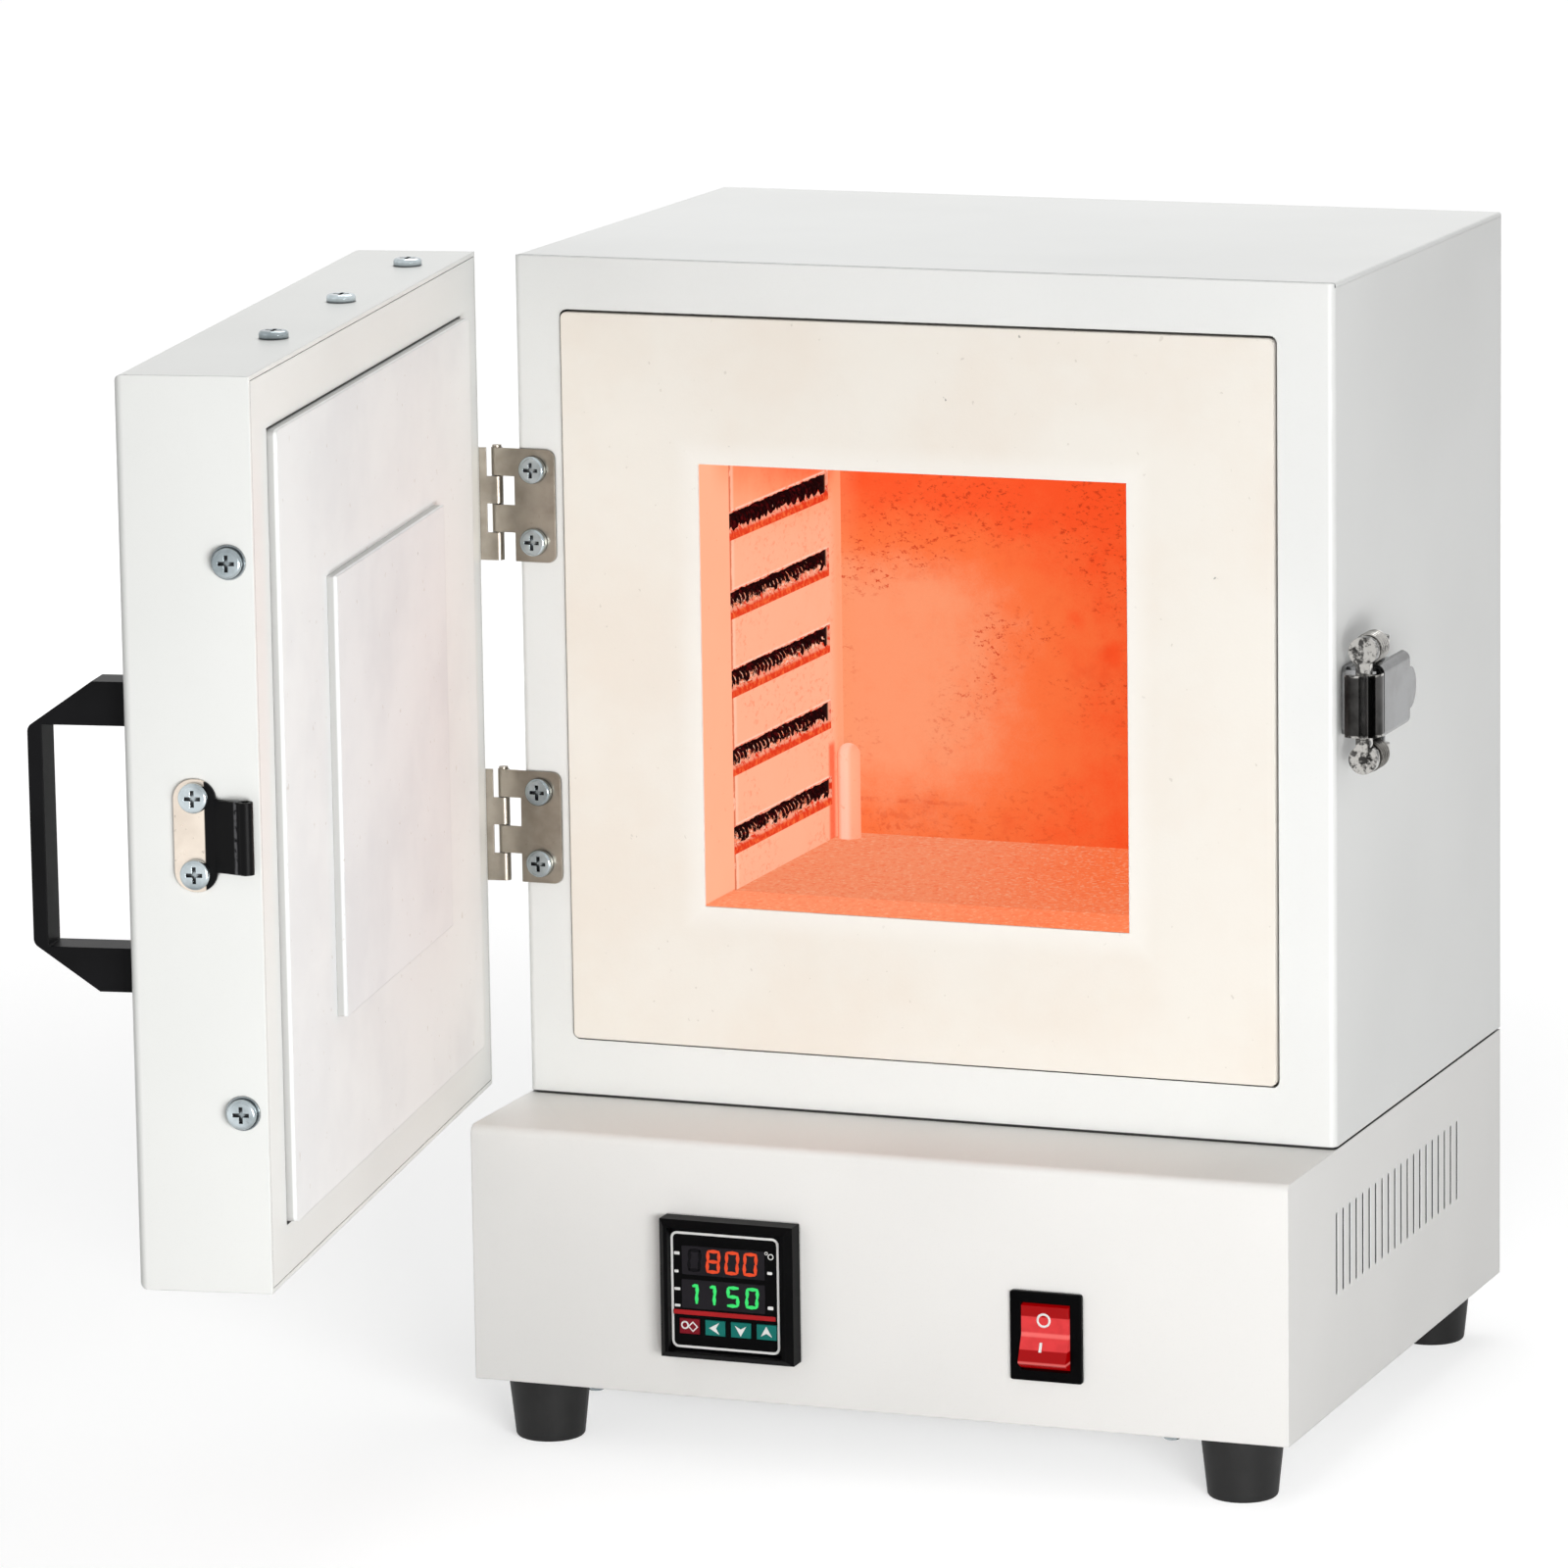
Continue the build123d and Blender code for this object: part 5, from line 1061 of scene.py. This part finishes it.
def coilBank(name, node, axisX, seed):
    coils = []
    overBottom = coilSettings["restGap"] + coilSettings["radius"] + coilSettings["wire"]
    for i, bottom in enumerate(slotBottoms):
        axisZ = bottom + overBottom
        coils.append(
            windCoil(f"{name}{i}", axisX, axisZ, chamber["joint"], chamber["slotRear"], seed + i)
        )
    dressed(joined(coils, name), "elementWire", "furnace", [node])


coilBank("elementCoilsLeft", "heating_coils_left", chamber["left"] - chamber["slotDeep"] / 2, 40)
coilBank("elementCoilsRight", "heating_coils_right", chamber["right"] + chamber["slotDeep"] / 2, 60)
print("heating coils wound")


# Controller face: print, windows, digits and key signs.

faceSettings = {
    "front": -0.1300,         # the face's own plane
    "lift": 0.00012,          # how thick the print stands
    "outline": {"centre": (-0.0512, 0.0609), "size": (0.0392, 0.0404), "corner": 0.0024, "line": 0.00085},
    "windows": (
        {"name": "windowUpper", "centre": (-0.0518, 0.0713), "size": (0.0300, 0.0100)},
        {"name": "windowLower", "centre": (-0.0519, 0.0596), "size": (0.0302, 0.0100)},
    ),
    "stripe": {"centre": (-0.0517, 0.0531), "size": (0.0372, 0.0016)},
    "marks": (
        ((-0.0686, 0.0735), (0.0020, 0.0011)), ((-0.0688, 0.0672), (0.0015, 0.0010)),
        ((-0.0686, 0.0611), (0.0021, 0.0010)), ((-0.0686, 0.0553), (0.0021, 0.0009)),
    ),
    "unitRings": (((-0.0362, 0.0757), 0.0005, 0.0003), ((-0.0346, 0.0746), 0.0009, 0.0004)),
    "unitMarks": (((-0.0350, 0.0689), (0.0018, 0.0010)), ((-0.0349, 0.0568), (0.0020, 0.0012))),
    "figures": (
        {
            "name": "digitsUpper", "finish": "digitsRed", "thickness": 0.00012,
            "text": "800", "centres": (-0.0554, -0.0486, -0.0420), "z": 0.0714,
            "tall": 0.0082, "wide": 0.0051, "stroke": 0.00112,
        },
        {
            "name": "digitUnlit", "finish": "ghostDigit", "thickness": 0.00005,
            "text": "0", "centres": (-0.0622,), "z": 0.0714,
            "tall": 0.0080, "wide": 0.0049, "stroke": 0.00115,
        },
        {
            "name": "digitsLower", "finish": "digitsGreen", "thickness": 0.00012,
            "text": "1150", "centres": (-0.0633, -0.0569, -0.0484, -0.0415), "z": 0.0597,
            "tall": 0.0074, "wide": 0.0048, "stroke": 0.00115,
        },
    ),
    "slant": math.radians(4),
    # the figure 1 has longer strokes and a short flag at its top
    "oneStretch": (1.16, 1, 1.0),
    "flag": {"across": 0.50, "up": 0.93, "turn": -0.25, "scale": (0.5, 1, 0.9)},
}

# which of the seven strokes each figure lights: top, upper right, lower right, bottom,
# lower left, upper left, middle
strokesOf = {"0": "abcdef", "1": "bc", "5": "afgcd", "8": "abcdefg"}


def printedPatch(name, centre, size, corner=0.0003):
    # a flat patch of print with round corners, a little proud of the face
    x, z = centre
    back = faceSettings["front"]
    front = back - faceSettings["lift"]
    low = (x - size[0] / 2, front, z - size[1] / 2)
    high = (x + size[0] / 2, back, z + size[1] / 2)
    patch = startBlock(name, low, high)
    editEdges(patch, lambda a, b: abs(a.y - b.y) > faceSettings["lift"] / 2)
    bpy.ops.mesh.bevel(offset=corner, segments=5, affect="EDGES")
    leaveEdit()
    return patch


def outlineFrame(settings):
    ring = printedPatch("faceOutline", settings["centre"], settings["size"], settings["corner"])
    editFaces(ring, lambda middle, normal: abs(normal.y) > 0.9)
    bpy.ops.mesh.inset(thickness=settings["line"], depth=0)
    leaveEdit()
    x, z = settings["centre"]
    # the two inner faces reach across the middle, and joining them opens the frame
    reachX, reachZ = (side * 0.3 for side in settings["size"])
    editFaces(
        ring, lambda middle, normal: abs(normal.y) > 0.9
        and abs(middle.x - x) < reachX and abs(middle.z - z) < reachZ,
    )
    bpy.ops.mesh.bridge_edge_loops()
    leaveEdit()
    return ring


def ledStroke(length, width, thickness):
    # a bar with pointed ends, lying along X, with its back on the window
    radius = width / math.sqrt(3)
    stroke = settled(started(
        bpy.ops.mesh.primitive_circle_add, "ledStroke", vertices=6, radius=radius,
        fill_type="NGON", rotation=(math.pi / 2, 0, 0),
    ))
    reach = length / 2 - radius
    for way in (-1, 1):
        editCorners(stroke, lambda place: place.x * way > 0.00005)
        bpy.ops.transform.translate(value=(way * reach, 0, 0))
        leaveEdit()
    editFaces(stroke, lambda middle, normal: True)
    bpy.ops.mesh.normals_make_consistent(inside=False)
    bpy.ops.mesh.extrude_region_move(TRANSFORM_OT_translate={"value": (0, -thickness, 0)})
    outwardFaces()
    leaveEdit()
    return stroke


def litFigures(settings):
    wide, tall, stroke, thickness = (settings[key] for key in ("wide", "tall", "stroke", "thickness"))
    seat = faceSettings["front"] - faceSettings["lift"]
    flat = ledStroke(wide - stroke * 0.7, stroke, thickness)
    upright = ledStroke(tall / 2 - stroke * 0.35, stroke, thickness)
    halfWide = wide / 2 - stroke / 2
    quarter = tall / 4 - stroke / 4
    halfTall = tall / 2 - stroke / 2
    places = {
        "a": (flat, 0, halfTall, 0), "d": (flat, 0, -halfTall, 0), "g": (flat, 0, 0, 0),
        "b": (upright, halfWide, quarter, math.pi / 2), "c": (upright, halfWide, -quarter, math.pi / 2),
        "f": (upright, -halfWide, quarter, math.pi / 2), "e": (upright, -halfWide, -quarter, math.pi / 2),
    }
    bars = []
    for figure, centre in zip(settings["text"], settings["centres"]):
        for letter in strokesOf[figure]:
            source, dx, dz, turn = places[letter]
            lean = dz * math.tan(faceSettings["slant"])
            place = (centre + dx + lean, seat, settings["z"] + dz)
            bars.append(copied(source, "bar", place, (0, turn, 0)))
            if figure == "1":
                bars[-1].scale = faceSettings["oneStretch"]
        if figure == "1":
            flag = faceSettings["flag"]
            lean = halfTall * math.tan(faceSettings["slant"])
            x = centre + halfWide * flag["across"] + lean
            z = settings["z"] + halfTall * flag["up"]
            bars.append(copied(flat, "bar", (x, seat, z), (0, flag["turn"], 0)))
            bars[-1].scale = flag["scale"]
    dropped(flat)
    dropped(upright)
    for bar in bars:
        settled(bar)
    return joined(bars, settings["name"])


outline = outlineFrame(faceSettings["outline"])
dressed(outline, "printWhite")
for window in faceSettings["windows"]:
    pane = printedPatch(window["name"], window["centre"], window["size"], 0.0004)
    dressed(pane, "windowSmoke")
stripe = printedPatch("faceStripe", faceSettings["stripe"]["centre"], faceSettings["stripe"]["size"])
dressed(stripe, "stripeRed", "furnace")
marks = [printedPatch("faceMark", centre, size) for centre, size in faceSettings["marks"]]
dressed(joined(marks, "faceMarks"), "printWhite")
for figures in faceSettings["figures"]:
    dressed(litFigures(figures), figures["finish"])

signSettings = {
    "keyFront": -0.1304,
    "lift": 0.00012,
    "keyZ": 0.0483,
    "keys": {"set_key": -0.0643, "left_key": -0.0550, "down_key": -0.0457, "up_key": -0.0364},
    "turns": {"left_key": math.pi, "down_key": math.pi / 2, "up_key": -math.pi / 2},
    "arrow": 0.0021,
    "notch": 0.0017,
    # place on the set key, radius and corners of each of its rings
    "rings": (((-0.0016, 0.0004), 0.00115, 24), ((0.0013, 0.0), 0.0016, 4)),
    "ringLine": 0.0006,
}


def arrowSign():
    # a pointed arrow with a hollow back, pointing along +X
    arrow = settled(started(
        bpy.ops.mesh.primitive_circle_add, "arrow", vertices=4, radius=signSettings["arrow"],
        fill_type="NGON", rotation=(math.pi / 2, 0, 0),
    ))
    editCorners(arrow, lambda place: abs(place.x) < 0.0005)
    bpy.ops.transform.translate(value=(-signSettings["arrow"] * 0.75, 0, 0))
    leaveEdit()
    editCorners(arrow, lambda place: abs(place.z) < 0.0005 and place.x < 0)
    bpy.ops.transform.translate(value=(signSettings["notch"], 0, 0))
    leaveEdit()
    editFaces(arrow, lambda middle, normal: True)
    bpy.ops.mesh.extrude_region_move(TRANSFORM_OT_translate={"value": (0, -signSettings["lift"], 0)})
    outwardFaces()
    leaveEdit()
    return arrow


arrow = arrowSign()
for keyBody, turn in signSettings["turns"].items():
    place = (signSettings["keys"][keyBody], signSettings["keyFront"], signSettings["keyZ"])
    sign = settled(copied(arrow, keyBody + "_sign", place, (0, turn, 0)))
    dressed(sign, "printWhite", keyBody)
dropped(arrow)


def flatRing(name, centre, radius, line, corners):
    # a ring of print that faces the front, flattened to about a third of its line
    ring = started(
        bpy.ops.mesh.primitive_torus_add, name, major_radius=radius, minor_radius=line / 2,
        major_segments=corners, minor_segments=8, location=centre, rotation=(math.pi / 2, 0, 0),
    )
    ring.scale = (1, 1, 0.35)
    settled(ring)
    only(ring)
    bpy.ops.object.shade_smooth_by_angle(angle=math.radians(50))
    return ring


ringLift = 0.00005
setX = signSettings["keys"]["set_key"]
rings = []
for (dx, dz), radius, corners in signSettings["rings"]:
    place = (setX + dx, signSettings["keyFront"] - ringLift, signSettings["keyZ"] + dz)
    rings.append(flatRing("ring", place, radius, signSettings["ringLine"], corners))
dressed(joined(rings, "set_key_sign"), "printWhite", "set_key")
unitMarks = []
for (x, z), radius, line in faceSettings["unitRings"]:
    unitMarks.append(flatRing("ring", (x, faceSettings["front"] - ringLift, z), radius, line, 16))
for centre, size in faceSettings["unitMarks"]:
    unitMarks.append(printedPatch("faceMark", centre, size))
dressed(joined(unitMarks, "faceUnitMarks"), "printWhite")
print("controller face printed")


# Rocker marks.

rockerSettings = {
    "upperY": -0.1263,        # the pressed-in half stands upright here
    "crestZ": 0.0541,
    "lowerLean": math.radians(24),
    "ring": {"x": 0.0612, "z": 0.0592, "radius": 0.0021, "line": 0.0008},
    "bar": {"x": 0.0606, "z": 0.0503, "tall": 0.0034, "wide": 0.0010},
}
ring = rockerSettings["ring"]
ringPlace = (ring["x"], rockerSettings["upperY"], ring["z"])
offSign = flatRing("rockerOffSign", ringPlace, ring["radius"], ring["line"], 32)
dressed(offSign, "printWhite", "rocker")
bar = rockerSettings["bar"]
belowCrest = rockerSettings["crestZ"] - bar["z"]
barY = rockerSettings["upperY"] - belowCrest * math.tan(rockerSettings["lowerLean"])
barHalf = (bar["wide"] / 2, 0.00015, bar["tall"] / 2)
onSign = startBlock("rockerOnSign", [-side for side in barHalf], barHalf)
modified(onSign, "BEVEL", width=0.00012, segments=2, limit_method="ANGLE")
onSign.location = (bar["x"], barY, bar["z"])
onSign.rotation_euler = (-rockerSettings["lowerLean"], 0, 0)
settled(onSign)
dressed(onSign, "printWhite", "rocker")
print("rocker marked")


# Floor, backdrop light and camera.

studioSettings = {
    "floorHalf": 8.0,
    "floorShade": tone(206, 206, 206),
    "floorGlow": (0.52, 0.82),          # under the object, and far from it
    "glowReach": (0.35, 1.6),           # how far out the one passes into the other
    "ambient": 0.31,
    "lamps": (
        # name, place, aim, size across and up, watts
        ("keyPanel", (0.58, -0.96, 0.18), (-0.04, -0.12, 0.17), (0.50, 0.30), 7.6),
        ("topPanel", (-0.10, 0.90, 2.10), (0.0, 0.0, 0.3), (1.4, 1.4), 23.0),
        ("leftPanel", (-1.60, -2.00, 0.60), (-0.1, -0.1, 0.25), (1.0, 1.0), 0.8),
    ),
    "darkCards": (
        # name, place, aim, size: only mirror-like metal sees these
        ("darkCardNear", (0.27, -0.30, 0.26), (0.155, -0.06, 0.26), (0.24, 0.22)),
        ("darkCardRight", (0.82, -0.36, 0.14), (0.155, -0.06, 0.26), (0.70, 0.34)),
    ),
}


def seenBy(tree, first, *others):
    # 1 for the kinds of ray that are named
    seen = addNode(tree, "ShaderNodeLightPath", output=first)
    for other in others:
        seen = seen.largest(addNode(tree, "ShaderNodeLightPath", output=other))
    return seen


floor = started(
    bpy.ops.mesh.primitive_plane_add, "studioFloor", size=2 * studioSettings["floorHalf"]
)
floorPaint = bpy.data.materials.new("studioFloorPaint")
floorTree = emptied(floorPaint)
seen = seenBy(floorTree, "Is Camera Ray", "Is Glossy Ray")
wash = addNode(
    floorTree, "ShaderNodeBsdfDiffuse", None, {"Color": studioSettings["floorShade"], "Roughness": 1.0}
)
nearGlow, farGlow = studioSettings["floorGlow"]
middle = addNode(floorTree, "ShaderNodeTexCoord", output="Object")
away = addNode(floorTree, "ShaderNodeVectorMath", {"operation": "LENGTH"}, {0: middle}, "Value")
away = away.rise(*studioSettings["glowReach"])
shine = addNode(
    floorTree, "ShaderNodeEmission", None, {"Strength": seen * (nearGlow + away * (farGlow - nearGlow))}
)
both = addNode(floorTree, "ShaderNodeAddShader", None, {0: wash, 1: shine})
floorOut = floorTree.nodes.new("ShaderNodeOutputMaterial")
floorTree.links.new(both.socket, floorOut.inputs[0])
floor.data.materials.append(floorPaint)

world = bpy.data.worlds.new("studioWorld")
bpy.context.scene.world = world
worldTree = emptied(world)
seen = seenBy(worldTree, "Is Camera Ray", "Is Glossy Ray", "Is Transmission Ray")
level = studioSettings["ambient"] + seen * (1.0 - studioSettings["ambient"])
sky = addNode(worldTree, "ShaderNodeBackground", None, {"Color": (1, 1, 1, 1), "Strength": level})
worldOut = worldTree.nodes.new("ShaderNodeOutputWorld")
worldTree.links.new(sky.socket, worldOut.inputs[0])


def aimed(place, aim):
    return (Vector(aim) - Vector(place)).to_track_quat("-Z", "Y").to_euler()


for name, place, aim, size, watts in studioSettings["lamps"]:
    light = bpy.data.lights.new(name, "AREA")
    light.shape = "RECTANGLE"
    light.size, light.size_y = size
    light.energy = watts
    lamp = bpy.data.objects.new(name, light)
    lamp.location = place
    lamp.rotation_euler = aimed(place, aim)
    bpy.context.collection.objects.link(lamp)

cardPaint = bpy.data.materials.new("darkCardPaint")
cardPaint.use_nodes = True
cardSurface = cardPaint.node_tree.nodes["Principled BSDF"]
cardSurface.inputs["Base Color"].default_value = (0.01, 0.01, 0.01, 1)
cardSurface.inputs["Roughness"].default_value = 1.0
for name, place, aim, size in studioSettings["darkCards"]:
    card = started(
        bpy.ops.mesh.primitive_plane_add, name, size=1, location=place, rotation=aimed(place, aim)
    )
    card.scale = (size[0], size[1], 1)
    card.data.materials.append(cardPaint)
    card.visible_camera = False
    card.visible_diffuse = False
    card.visible_shadow = False
    card.visible_transmission = False

cameraSettings = {
    "azimuth": 0.36874367,
    "elevation": 0.19096953,
    "roll": -0.01477737,
    "target": (-0.06821, -0.0240, 0.215228),
    "distance": 2.973664,
    "lens": 197.255,
}
azimuth, elevation, roll = (cameraSettings[key] for key in ("azimuth", "elevation", "roll"))
ahead = Vector((
    -math.sin(azimuth) * math.cos(elevation),
    math.cos(azimuth) * math.cos(elevation),
    -math.sin(elevation),
))
level = Vector((math.cos(azimuth), math.sin(azimuth), 0))
upright = level.cross(ahead)
right = math.cos(roll) * level + math.sin(roll) * upright
up = -math.sin(roll) * level + math.cos(roll) * upright
lens = bpy.data.cameras.new("photoCamera")
lens.lens = cameraSettings["lens"]
lens.sensor_width = 36.0
lens.clip_start = 0.05
lens.clip_end = 60.0
camera = bpy.data.objects.new("photoCamera", lens)
bpy.context.collection.objects.link(camera)
camera.location = Vector(cameraSettings["target"]) - ahead * cameraSettings["distance"]
camera.rotation_euler = Matrix((right, up, -ahead)).transposed().to_euler()
bpy.context.scene.camera = camera
bpy.context.scene.view_settings.view_transform = "Standard"
print("studio and camera set")
